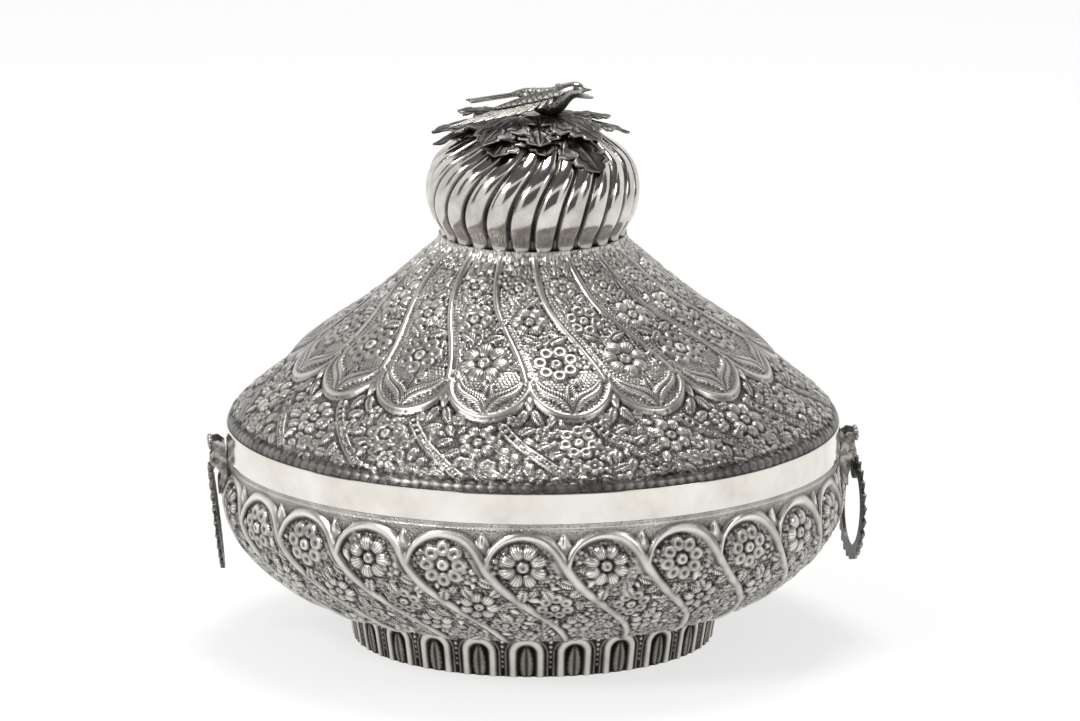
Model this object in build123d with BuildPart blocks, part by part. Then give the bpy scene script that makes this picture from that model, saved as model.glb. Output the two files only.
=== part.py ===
from build123d import *
import math
import os

# A round silver box: chased bowl on a low foot, a domed cone lid with a gadrooned
# bulb and a finial of vine leaves with a bird, and two drop-ring handles.
# Units mm, +Z up. The origin is the centre of the foot's underside, the handles
# are on +X and -X, and the front is -Y.

# bowl
sheet = 1.0
foot_top_radius = 91.7
foot_flare = 3.4
foot_height = 20.0
foot_wall = 1.6
rim_radius = 150.2
rim_height = 91.7
belly_bulge = 2.5
belly_below_rim = 18.5
rim_straight = 4.0

# collar inside the mouth, over which the lid's band slips
collar_thickness = 1.2
collar_set_in = 0.8
collar_rise = 8.5
collar_drop = 5.0

# lid
lid_gap = 0.1
band_set_in = 0.2
band_clearance = 0.4
band_height = 15.3
lid_sheet = 1.0
neck_radius = 46.3
neck_height = 109.3
neck_straight = 2.0

# bulb
gadroon_count = 25
bulb_seat_set_in = 0.9
bulb_radius = 52.4
bulb_height = 53.1
crown_radius = 22.0
bulb_wall = 1.2
groove_depth = 2.0
swirl_angle = 30.0
swirl_power = 2.6

# finial
stud_radius = 2.0
stud_below = 6.5
stud_above = 4.0
washer_radius = 5.5
washer_thickness = 0.8
nut_flats = 7.0
nut_thickness = 2.8
boss_radius = 6.0
boss_height = 5.8
boss_flange_radius = 11.0
boss_flange_thickness = 0.8
stud_fit = 0.03

# leaves: name, tip reach, tip drop below the boss's top, blade width
leaf_thickness = 0.8
leaf_first_tier = 0.8
leaf_tier_step = 1.15
leaf_stalk = 4.0
leaf_stalk_width = 2.6
leaf_list = [
    ("leaf_low_left", 49.0, 14.5, 18.0),
    ("leaf_low_front_left", 43.0, 13.0, 18.0),
    ("leaf_low_front", 38.5, 8.4, 10.0),
    ("leaf_low_front_right", 49.0, 20.5, 18.0),
    ("leaf_low_right", 47.5, 10.5, 16.0),
    ("leaf_low_back_right", 46.0, 14.0, 17.0),
    ("leaf_low_back_left", 45.0, 13.5, 18.0),
    ("leaf_mid_left", 50.0, 7.0, 20.0),
    ("leaf_mid_front", 36.0, 6.0, 20.0),
    ("leaf_mid_right", 41.0, 4.5, 17.0),
    ("leaf_mid_back", 38.0, 5.0, 18.0),
    ("leaf_top_front_left", 41.0, 4.0, 22.0),
    ("leaf_top_front_right", 40.0, 4.0, 24.0),
    ("leaf_top_back_left", 42.0, 2.5, 20.0),
]
leaf_angles = [-87.0, -29.0, 6.0, 38.0, 94.0, 152.0, -147.0,
               -83.0, 2.0, 109.0, 168.0, -40.0, 52.0, -122.0]
leaf_tier_counts = [1, 1, 0, 1, 1, 1, 1, 2, 2, 2, 2, 3, 3, 3]
leaf_bow_shares = [0.085, 0.095, 0.045, 0.145, 0.075, 0.09, 0.09,
                   0.06, 0.075, 0.06, 0.06, 0.06, 0.07, 0.05]
leaf_lobe_shares = [
    (0.04, 0.10),
    (0.00, 0.30),
    (0.12, 0.44),
    (0.20, 0.36),
    (0.28, 0.50),
    (0.40, 0.49),
    (0.46, 0.34),
    (0.56, 0.42),
    (0.68, 0.33),
    (0.72, 0.20),
    (0.84, 0.18),
    (0.94, 0.07),
]

# handles
pin_radius = 1.1
pin_head_radius = 1.7
pin_head_thickness = 0.8
pin_standoff = 5.3
pin_below_rim = 1.8
lug_gap = 13.2
lug_thickness = 1.6
lug_nose_radius = 2.5
backplate_thickness = 1.3
backplate_foot = 16.0
backplate_top = 8.0
backplate_clearance = 0.5
crest_rise = 6.2
crest_height = 5.9
crest_thickness = 2.2
crest_set_out = 1.6
pin_fit = 0.04
eye_play = 0.6
eye_wall = 1.0
eye_width = 5.0
ring_radius = 24.3
ring_width = 5.0
ring_thickness = 2.4
ring_drop = 28.5
ring_set_out = 3.0
scallop_count = 24
scallop_radius = 2.1
shield_radius = 6.0
shield_drop = 8.5
left_ring_lean = 7.0
left_ring_yaw = 2.0
right_ring_lean = 3.0
right_ring_yaw = 8.0

# bird; wings: name, length, chord, shift along the body, with bearing, droop and roll
bird_heading_angle = 66.7
bird_pitch_angle = 6.5
bird_lift = 9.2
bird_forward = 9.0
bird_girth = 7.8
head_reach = 17.0
head_radius = 5.6
neck_girth = 5.3
beak_reach = 11.5
beak_girth = 1.7
beak_tip = 0.35
tail_start = 20.0
tail_length = 36.0
tail_width = 6.4
tail_thickness = 2.4
leg_radius = 0.9
leg_spread = 3.0
wing_thickness = 1.2
wing_list = [
    ("near_wing", 50.0, 14.0, 5.0),
    ("far_wing", 27.0, 12.0, 6.0),
]
wing_angles = [(-78.0, 10.0, 22.0), (136.0, 18.0, 10.0)]
wing_outline_shares = [
    (-0.10, -0.10),
    (-0.04, 0.38),
    (0.10, 0.62),
    (0.30, 0.66),
    (0.36, 0.56),
    (0.52, 0.56),
    (0.56, 0.44),
    (0.74, 0.40),
    (0.78, 0.26),
    (1.00, 0.10),
    (0.98, -0.02),
    (0.60, -0.24),
    (0.20, -0.34),
]

# how the walls curve, as shares of the way out or in and of the way up:
# the bowl from its foot to its belly, the lid from its neck's to its band's radius,
# the bulb from its seat out to its belly, and from its belly in to its crown
bowl_shares = [(0.3, 0.0489), (0.5951, 0.2481), (0.8656, 0.547)]
lid_shares = [
    (0.94407, 0.10978),
    (0.76471, 0.27717),
    (0.6567, 0.39674),
    (0.44455, 0.57065),
    (0.22469, 0.76304),
    (0.05593, 0.93261),
]
bulb_lower_shares = [(0.0, 0.0), (0.4857, 0.1469), (1.0, 0.3955)]
bulb_upper_shares = [(0.7993, 0.7345), (0.5263, 0.8512), (0.0, 1.0)]
groove_shares = [0.25, 0.8, 1.0, 1.0, 0.8, 0.3]

os.makedirs("parts", exist_ok=True)

foot_base_radius = foot_top_radius - foot_flare
belly_radius = rim_radius + belly_bulge
belly_height = rim_height - belly_below_rim
band_radius = rim_radius - band_set_in
bulb_seat_radius = neck_radius - bulb_seat_set_in
lid_base = rim_height + lid_gap
neck_foot = lid_base + neck_height - neck_straight
bulb_base = lid_base + neck_height
crown_top = bulb_base + bulb_height
crown_under = crown_top - bulb_wall
collar_outer = rim_radius - sheet - collar_set_in
collar_inner = collar_outer - collar_thickness
band_inner = collar_outer + band_clearance


def sideways(angle):
    """Unit vector at an angle from -Y towards +X."""
    return Vector(math.sin(math.radians(angle)), -math.cos(math.radians(angle)), 0)


def inset(points, amount):
    """The points of a wall's other face, each moved square to the wall's run."""
    moved = []
    for index, (across, up) in enumerate(points):
        before = points[max(index - 1, 0)]
        after = points[min(index + 1, len(points) - 1)]
        run = math.hypot(after[0] - before[0], after[1] - before[1])
        moved.append((
            across - amount * (after[1] - before[1]) / run,
            up + amount * (after[0] - before[0]) / run,
        ))
    return moved


# foot: a low sheet ring, a little wider at the top
with BuildPart() as foot_ring:
    with BuildSketch(Plane.XZ):
        with BuildLine():
            Polyline(
                (foot_base_radius, 0),
                (foot_top_radius, foot_height),
                (foot_top_radius - foot_wall, foot_height),
                (foot_base_radius - foot_wall, 0),
                close=True,
            )
        make_face()
    revolve(axis=Axis.Z)
foot_ring.part.label = "foot_ring"
export_step(foot_ring.part, "parts/foot_ring.step")

# bowl: flat sole, wide round belly, short upright rim
bowl_curve = [
    (
        foot_top_radius + out * (belly_radius - foot_top_radius),
        foot_height + up * (belly_height - foot_height),
    )
    for out, up in bowl_shares
]
bowl_curve.append((belly_radius, belly_height))
with BuildPart() as bowl_shell:
    with BuildSketch(Plane.XZ):
        with BuildLine():
            outer_side = Spline(
                (foot_top_radius, foot_height),
                *bowl_curve,
                (rim_radius, rim_height - rim_straight),
                tangents=((1, 0), (0, 1)),
            )
            inner_side = Spline(
                (foot_top_radius, foot_height + sheet),
                *inset(bowl_curve, sheet),
                (rim_radius - sheet, rim_height - rim_straight),
                tangents=((1, 0), (0, 1)),
            )
            Polyline(
                outer_side @ 1,
                (rim_radius, rim_height),
                (rim_radius - sheet, rim_height),
                inner_side @ 1,
            )
            Polyline(
                inner_side @ 0,
                (0, foot_height + sheet),
                (0, foot_height),
                outer_side @ 0,
            )
        make_face()
    revolve(axis=Axis.Z)
bowl_shell.part.label = "bowl_shell"
export_step(bowl_shell.part, "parts/bowl_shell.step")

# collar soldered inside the mouth, standing up above the rim
with BuildPart() as rim_collar:
    with BuildSketch(Plane.XZ):
        with BuildLine():
            Polyline(
                (collar_inner, rim_height - collar_drop),
                (collar_outer, rim_height - collar_drop),
                (collar_outer, rim_height - rim_straight),
                (rim_radius - sheet, rim_height - rim_straight),
                (rim_radius - sheet, rim_height),
                (collar_outer, rim_height),
                (collar_outer, rim_height + collar_rise),
                (collar_inner, rim_height + collar_rise),
                close=True,
            )
        make_face()
    revolve(axis=Axis.Z)
rim_collar.part.label = "rim_collar"
export_step(rim_collar.part, "parts/rim_collar.step")

# polished band of the lid, resting on the bowl's rim
with BuildPart() as lid_band:
    with BuildSketch(Plane.XY.offset(lid_base)):
        Circle(band_radius)
        Circle(band_inner, mode=Mode.SUBTRACT)
    extrude(amount=band_height)
lid_band.part.label = "lid_band"
export_step(lid_band.part, "parts/lid_band.step")

# lid: rounded shoulder, concave cone and a short neck under the bulb
band_top = lid_base + band_height
lid_curve = [
    (neck_radius + out * (band_radius - neck_radius), band_top + up * (neck_foot - band_top))
    for out, up in lid_shares
]
with BuildPart() as lid_shell:
    with BuildSketch(Plane.XZ):
        with BuildLine():
            outer_slope = Spline(
                (band_radius, band_top),
                *lid_curve,
                (neck_radius, neck_foot),
                tangents=((0, 1), (-0.5, 1)),
            )
            inner_slope = Spline(
                (band_radius - lid_sheet, band_top),
                *inset(lid_curve, lid_sheet),
                (neck_radius - lid_sheet, neck_foot),
                tangents=((0, 1), (-0.5, 1)),
            )
            Polyline(
                outer_slope @ 1,
                (neck_radius, lid_base + neck_height),
                (neck_radius - lid_sheet, lid_base + neck_height),
                inner_slope @ 1,
            )
            Line(inner_slope @ 0, outer_slope @ 0)
        make_face()
    revolve(axis=Axis.Z)
lid_shell.part.label = "lid_shell"
export_step(lid_shell.part, "parts/lid_shell.step")

# bulb: swirling gadroons outside, smooth inside, flat crown with a stud hole
bulb_curve = [
    (bulb_seat_radius + out * (bulb_radius - bulb_seat_radius), up * bulb_height)
    for out, up in bulb_lower_shares
]
bulb_curve += [
    (crown_radius + out * (bulb_radius - crown_radius), up * bulb_height)
    for out, up in bulb_upper_shares
]
with BuildPart() as gadroon_bulb:
    for (radius, height), depth in zip(bulb_curve, groove_shares):
        turn = swirl_angle * (height / bulb_height) ** swirl_power
        outline = []
        for step in range(gadroon_count * 4):
            angle = 360.0 * step / (gadroon_count * 4)
            lobe = abs(math.cos(math.radians(angle * gadroon_count / 2)))
            reach = radius - groove_depth * depth * (1 - lobe)
            bearing = math.radians(angle + turn)
            outline.append((reach * math.cos(bearing), reach * math.sin(bearing)))
        with BuildSketch(Plane.XY.offset(bulb_base + height)):
            with BuildLine():
                Spline(*outline, periodic=True)
            make_face()
    loft()
    with BuildSketch(Plane.XZ):
        with BuildLine():
            wall_line = Spline(
                *[(radius - groove_depth - bulb_wall, bulb_base + height)
                  for radius, height in bulb_curve[:4]],
                (bulb_curve[4][0] - groove_depth - bulb_wall, bulb_base + bulb_curve[4][1] - bulb_wall),
                (crown_radius - groove_depth, crown_under - groove_depth),
            )
            Polyline(
                wall_line @ 1,
                (boss_flange_radius, crown_under),
                (0, crown_under),
                (0, bulb_base),
                wall_line @ 0,
            )
        make_face()
    revolve(axis=Axis.Z, mode=Mode.SUBTRACT)
    with Locations((0, 0, crown_under)):
        Hole(stud_radius + stud_fit)
gadroon_bulb.part.label = "gadroon_bulb"
export_step(gadroon_bulb.part, "parts/gadroon_bulb.step")

# finial hardware: a turned boss on the crown, its stud, washer and nut below
boss_top = crown_top + boss_height
with BuildPart() as leaf_boss:
    with BuildSketch(Plane.XY.offset(crown_top)):
        Circle(boss_flange_radius)
    extrude(amount=boss_flange_thickness)
    with BuildSketch(Plane.XY.offset(crown_top + boss_flange_thickness)):
        Circle(boss_radius)
    extrude(amount=boss_height - boss_flange_thickness)
    with BuildSketch(Plane.XY.offset(crown_top)):
        Circle(stud_radius + stud_fit)
    extrude(amount=stud_above, mode=Mode.SUBTRACT)
leaf_boss.part.label = "leaf_boss"
export_step(leaf_boss.part, "parts/leaf_boss.step")

with BuildPart() as finial_stud:
    with BuildSketch(Plane.XY.offset(crown_under - stud_below)):
        Circle(stud_radius)
    extrude(amount=stud_below + bulb_wall + stud_above)
    chamfer(finial_stud.edges().filter_by(GeomType.CIRCLE).sort_by(Axis.Z)[0], stud_radius / 5)
finial_stud.part.label = "finial_stud"
export_step(finial_stud.part, "parts/finial_stud.step")

with BuildPart() as finial_washer:
    with BuildSketch(Plane.XY.offset(crown_under - washer_thickness)):
        Circle(washer_radius)
        Circle(stud_radius + stud_fit, mode=Mode.SUBTRACT)
    extrude(amount=washer_thickness)
finial_washer.part.label = "finial_washer"
export_step(finial_washer.part, "parts/finial_washer.step")

with BuildPart() as finial_nut:
    with BuildSketch(Plane.XY.offset(crown_under - washer_thickness - nut_thickness)):
        RegularPolygon(nut_flats / 2, 6, major_radius=False)
        Circle(stud_radius + stud_fit, mode=Mode.SUBTRACT)
    extrude(amount=nut_thickness)
finial_nut.part.label = "finial_nut"
export_step(finial_nut.part, "parts/finial_nut.step")

# vine leaves: each a lobed plate bent over an arc, its stalk butting on the boss
for (name, reach, drop, width), bearing, tier, bow in zip(
    leaf_list, leaf_angles, leaf_tier_counts, leaf_bow_shares
):
    outward = sideways(bearing)
    across = sideways(bearing + 90)
    root = crown_top + boss_flange_thickness + leaf_first_tier + tier * leaf_tier_step
    tip = boss_top - drop
    blade_start = boss_radius + leaf_stalk
    blade = reach - blade_start
    half_outline = [
        (blade_start - boss_radius * 1.5, leaf_stalk_width / 2),
        (blade_start, leaf_stalk_width / 2),
    ]
    for along, aside in leaf_lobe_shares:
        half_outline.append((blade_start + blade * along, width * aside))
    mirrored = [(along, -aside) for along, aside in reversed(half_outline)]
    middle = (boss_radius + reach) / 2
    sag = (root + tip) / 2 + bow * (reach - boss_radius)
    with BuildPart() as leaf:
        with BuildSketch(Plane(origin=(0, 0, tip - width), x_dir=outward, z_dir=(0, 0, 1))):
            Polygon(*half_outline, (reach, 0), *mirrored, align=None)
        extrude(amount=boss_height + drop + 2 * width)
        with BuildSketch(Plane(origin=(0, 0, 0), x_dir=outward, z_dir=across * -1)):
            with BuildLine():
                upper = ThreePointArc(
                    (0, root), (middle, sag), (reach + 1, tip)
                )
                lower = ThreePointArc(
                    (0, root - leaf_thickness),
                    (middle, sag - leaf_thickness),
                    (reach + 1, tip - leaf_thickness),
                )
                Line(upper @ 0, lower @ 0)
                Line(upper @ 1, lower @ 1)
            make_face()
        extrude(amount=width, both=True, mode=Mode.INTERSECT)
        with BuildSketch(Plane.XY.offset(crown_top)):
            Circle(boss_radius)
        extrude(amount=boss_height, mode=Mode.SUBTRACT)
    leaf.part.label = name
    export_step(leaf.part, "parts/" + name + ".step")

# bird: a smooth body and head turned about one line, a long flat tail, two legs
heading = sideways(bird_heading_angle)
lean = math.radians(bird_pitch_angle)
forward = heading * math.cos(lean) + Vector(0, 0, math.sin(lean))
upward = heading * -math.sin(lean) + Vector(0, 0, math.cos(lean))
near_side = sideways(bird_heading_angle - 90)
bird_centre = heading * bird_forward + Vector(0, 0, boss_top + bird_lift)
bird_plane = Plane(origin=bird_centre, x_dir=forward, z_dir=near_side)
with BuildPart() as bird_body:
    with BuildSketch(bird_plane):
        with BuildLine():
            back = Spline(
                (-tail_start, tail_thickness * 0.4),
                (-bird_girth * 1.5, bird_girth * 0.55),
                (0, bird_girth),
                (head_reach * 0.55, bird_girth * 0.86),
                (head_reach - head_radius * 0.75, neck_girth),
                (head_reach, head_radius),
                (head_reach + head_radius * 0.7, head_radius * 0.66),
                (head_reach + head_radius, beak_girth),
            )
            Polyline(
                back @ 1,
                (head_reach + beak_reach, beak_tip),
                (head_reach + beak_reach, 0),
                (-tail_start, 0),
                back @ 0,
            )
        make_face()
    revolve(axis=Axis(bird_plane.origin, bird_plane.x_dir))
    with BuildSketch(Plane(origin=bird_centre, x_dir=forward, z_dir=upward)):
        Polygon(
            (-tail_start + bird_girth, tail_width * 0.3),
            (-tail_start + bird_girth, -tail_width * 0.3),
            (-tail_start - tail_length, -tail_width / 2),
            (-tail_start - tail_length, tail_width / 2),
            align=None,
        )
    extrude(amount=tail_thickness / 2, both=True)
    with BuildSketch(Plane(origin=(0, 0, boss_top), x_dir=heading, z_dir=(0, 0, 1))):
        with Locations((0, leg_spread), (0, -leg_spread)):
            Circle(leg_radius)
    extrude(amount=bird_lift - bird_girth / 3)
bird_body.part.label = "bird_body"
export_step(bird_body.part, "parts/bird_body.step")

# wings: feathered plates fitted to the bird's flanks
for (name, length, chord, root_shift), (bearing, droop, roll) in zip(wing_list, wing_angles):
    wing_run = sideways(bearing) * math.cos(math.radians(droop))
    wing_run = wing_run - Vector(0, 0, math.sin(math.radians(droop)))
    wing_side = near_side if name == "near_wing" else near_side * -1
    spread = wing_side - wing_run * wing_side.dot(wing_run)
    spread = spread.normalized() * math.cos(math.radians(roll))
    face = wing_run.cross(wing_side).normalized()
    if face.Z < 0:
        face = face * -1
    spread = spread - face * math.sin(math.radians(roll))
    shoulder = bird_centre + forward * root_shift + wing_side * (bird_girth * 0.62)
    shoulder = shoulder + upward * (bird_girth * 0.35)
    normal = wing_run.cross(spread)
    with BuildPart() as wing:
        with BuildSketch(Plane(origin=shoulder, x_dir=wing_run, z_dir=normal)):
            Polygon(*[(length * along, chord * aside) for along, aside in wing_outline_shares], align=None)
        extrude(amount=wing_thickness / 2, both=True)
        add(bird_body.part, mode=Mode.SUBTRACT)
    wing.part.label = name
    export_step(wing.part, "parts/" + name + ".step")

# handles: bracket with two lugs, crest, hinge pin and a loose scalloped ring
pin_height = rim_height - pin_below_rim
pin_reach = rim_radius + pin_standoff
half_width = lug_gap / 2 + lug_thickness
plate_face = backplate_clearance + backplate_thickness - pin_standoff
for side, outward, lean_in, yaw in (
    ("left", -1, left_ring_lean, left_ring_yaw),
    ("right", 1, right_ring_lean, right_ring_yaw),
):
    pin_centre = Vector(outward * pin_reach, 0, pin_height)
    side_plane = Plane(origin=pin_centre, x_dir=(outward, 0, 0), z_dir=(0, -outward, 0))
    front_plane = Plane(origin=pin_centre, x_dir=(0, outward, 0), z_dir=(outward, 0, 0))

    with BuildPart() as bracket:
        with BuildSketch(side_plane):
            Polygon(
                (-pin_standoff * 2, -backplate_foot),
                (belly_radius + backplate_thickness - pin_reach, -backplate_foot),
                (belly_radius + backplate_thickness - pin_reach, -backplate_foot * 0.7),
                (plate_face, -lug_nose_radius),
                (plate_face, backplate_top),
                (-pin_standoff * 2, backplate_top),
                align=None,
            )
        extrude(amount=half_width, both=True)
        lug_planes = (
            side_plane.offset(lug_gap / 2),
            side_plane.offset(-lug_gap / 2 - lug_thickness),
        )
        with BuildSketch(*lug_planes):
            Circle(lug_nose_radius)
            Polygon(
                (plate_face - backplate_thickness, -backplate_foot * 0.55),
                (0, -lug_nose_radius),
                (lug_nose_radius * 0.8, lug_nose_radius * 0.6),
                (crest_set_out, crest_rise),
                (crest_set_out, crest_rise + crest_height * 0.6),
                (-crest_set_out, crest_rise + crest_height * 0.7),
                (plate_face - backplate_thickness, backplate_top),
                align=None,
            )
        extrude(amount=lug_thickness)
        with BuildSketch(Plane.XZ):
            with BuildLine():
                bowl_side = Spline(
                    (foot_top_radius, foot_height),
                    *bowl_curve,
                    (rim_radius, rim_height - rim_straight),
                    tangents=((1, 0), (0, 1)),
                )
                Polyline(
                    bowl_side @ 1,
                    (rim_radius, rim_height),
                    (rim_radius + backplate_clearance, rim_height),
                    (rim_radius + backplate_clearance, lid_base + band_height),
                    (0, lid_base + band_height),
                    (0, foot_height),
                    bowl_side @ 0,
                )
            make_face()
        revolve(axis=Axis.Z, mode=Mode.SUBTRACT)
        with BuildSketch(side_plane):
            Circle(pin_radius + pin_fit)
        extrude(amount=half_width * 2, both=True, mode=Mode.SUBTRACT)
    bracket.part.label = side + "_bracket"
    export_step(bracket.part, "parts/" + side + "_bracket.step")

    with BuildPart() as crest:
        with BuildSketch(front_plane.offset(crest_set_out)):
            with Locations((0, crest_rise + crest_height * 0.32)):
                Rectangle(half_width * 2, crest_height * 0.64)
            with Locations((0, crest_rise + crest_height * 0.62)):
                Circle(crest_height * 0.38)
            with Locations((half_width * 0.6, crest_rise + crest_height * 0.56)):
                Circle(crest_height * 0.3)
            with Locations((-half_width * 0.6, crest_rise + crest_height * 0.56)):
                Circle(crest_height * 0.3)
        extrude(amount=crest_thickness)
    crest.part.label = side + "_crest"
    export_step(crest.part, "parts/" + side + "_crest.step")

    with BuildPart() as hinge_pin:
        with BuildSketch(side_plane):
            Circle(pin_radius)
        extrude(amount=half_width, both=True)
        head_planes = (
            side_plane.offset(half_width),
            side_plane.offset(-half_width - pin_head_thickness),
        )
        with BuildSketch(*head_planes):
            Circle(pin_head_radius)
        extrude(amount=pin_head_thickness)
    hinge_pin.part.label = side + "_hinge_pin"
    export_step(hinge_pin.part, "parts/" + side + "_hinge_pin.step")

    tilt = math.radians(lean_in)
    twist = math.radians(yaw)
    facing = Vector(
        outward * math.cos(tilt) * math.cos(twist),
        math.cos(tilt) * math.sin(twist),
        -math.sin(tilt),
    )
    level = Vector(-outward * math.sin(twist), math.cos(twist), 0)
    ring_plane = Plane(origin=pin_centre, x_dir=level * outward, z_dir=facing)
    eye_plane = Plane(origin=pin_centre, x_dir=facing, z_dir=level * -outward)
    eye_radius = pin_radius + eye_play
    with BuildPart() as ring:
        with BuildSketch(ring_plane.offset(ring_set_out - ring_thickness / 2)):
            with Locations((0, -ring_drop)):
                Circle(ring_radius)
                with PolarLocations(ring_radius, scallop_count):
                    Circle(scallop_radius)
                Circle(ring_radius - ring_width, mode=Mode.SUBTRACT)
            with Locations((0, -shield_drop)):
                Circle(shield_radius)
        extrude(amount=ring_thickness)
        with BuildSketch(eye_plane):
            Circle(eye_radius + eye_wall)
            Polygon(
                (0, -eye_radius - eye_wall),
                (ring_set_out + ring_thickness / 2, -shield_drop),
                (ring_set_out + ring_thickness / 2, -ring_drop + ring_radius),
                (0, eye_radius + eye_wall),
                align=None,
            )
        extrude(amount=eye_width / 2, both=True)
        with BuildSketch(eye_plane):
            Circle(eye_radius)
        extrude(amount=half_width, both=True, mode=Mode.SUBTRACT)
    ring.part.label = side + "_ring"
    export_step(ring.part, "parts/" + side + "_ring.step")
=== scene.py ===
import logging
import math
from collections.abc import Callable, Sequence
from dataclasses import dataclass, field
from enum import Enum

import bmesh
import bpy
import numpy as np
from bmesh.types import BMesh, BMVert
from bpy.types import Material, Mesh, NodeSocket, NodeTree, Object
from mathutils import Matrix, Vector
from numpy import ndarray


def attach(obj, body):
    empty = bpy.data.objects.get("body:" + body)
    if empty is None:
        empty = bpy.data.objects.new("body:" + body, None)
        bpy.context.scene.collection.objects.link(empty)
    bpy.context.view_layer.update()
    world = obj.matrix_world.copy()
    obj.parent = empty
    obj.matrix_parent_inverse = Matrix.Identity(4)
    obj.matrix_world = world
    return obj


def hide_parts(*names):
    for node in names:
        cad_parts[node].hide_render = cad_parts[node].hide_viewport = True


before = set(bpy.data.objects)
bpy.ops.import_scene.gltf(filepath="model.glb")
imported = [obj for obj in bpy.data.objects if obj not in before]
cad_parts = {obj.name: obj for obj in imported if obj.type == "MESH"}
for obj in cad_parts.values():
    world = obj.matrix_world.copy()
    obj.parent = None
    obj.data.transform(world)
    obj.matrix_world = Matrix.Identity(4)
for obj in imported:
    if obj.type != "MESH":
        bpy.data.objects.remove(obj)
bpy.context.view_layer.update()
LOG = logging.getLogger("silver_box")

MM = 0.001
# the camera stands this far round from the box's front, so ornament angles count from it
CAMERA_BEARING = 3.3
# what the finishes read from a piece's vertices
ATTRIBUTES = ("polish", "matting", "phase", "traced")
# the relief stays this far inside the wall's outer line
CLEARANCE = 0.02
# height of the top of the boss that carries the leaves and the bird
BOSS_TOP = 260.0

Spot = tuple[float, float]


class Body(Enum):
    """The four bodies that the pieces ride on."""

    BOWL = "bowl"
    LID = "lid"
    LEFT_RING = "left_ring"
    RIGHT_RING = "right_ring"


class Slot(Enum):
    """The record's material slots, which the builders pass along without storing them on the pieces."""

    CHASED = "chased_silver"
    POLISHED = "polished_silver"
    OXIDISED = "oxidised_silver"
    CAST = "cast_silver"
    FOOT = "foot_silver"


def linear(code: str) -> tuple[float, float, float, float]:
    """Turn an sRGB hex colour into linear light.

    Args:
        code: Six hex digits, such as "d8d4cc".

    Returns:
        Red, green, blue and an alpha of 1.
    """
    parts = [int(code[i:i + 2], 16) / 255 for i in (0, 2, 4)]
    values = [p / 12.92 if p <= 0.04045 else ((p + 0.055) / 1.055) ** 2.4 for p in parts]
    return (values[0], values[1], values[2], 1.0)


def add_node(tree: NodeTree, kind: str, settings: dict | None = None,
             inputs: dict | None = None) -> bpy.types.Node:
    """Add a shader node with its settings, values and links.

    Args:
        tree: The node tree that takes the node.
        kind: Blender's type name of the node, without ShaderNode before it.
        settings: Properties of the node by name.
        inputs: Values, or output sockets to link from, by input name or number.

    Returns:
        The new node.
    """
    node = tree.nodes.new("ShaderNode" + kind)
    for name, value in (settings or {}).items():
        setattr(node, name, value)
    for key, value in (inputs or {}).items():
        if isinstance(value, NodeSocket):
            tree.links.new(value, node.inputs[key])
        else:
            node.inputs[key].default_value = value
    return node


def clear_tree(owner: Material | bpy.types.World) -> NodeTree:
    """Give a material or a world nodes, and empty its tree.

    Args:
        owner: The material or the world.

    Returns:
        Its tree, without a node.
    """
    owner.use_nodes = True
    owner.node_tree.nodes.clear()
    return owner.node_tree


def set_ramp(ramp: bpy.types.ColorRamp, stops: Sequence[tuple[float, str]]) -> None:
    """Give a colour ramp its stops.

    Args:
        ramp: The ramp of a Color Ramp node.
        stops: Place and sRGB hex colour of each stop, in order.
    """
    while len(ramp.elements) < len(stops):
        ramp.elements.new(0.5)
    for element, (place, code) in zip(ramp.elements, stops):
        element.position = place
        element.color = linear(code)


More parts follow.
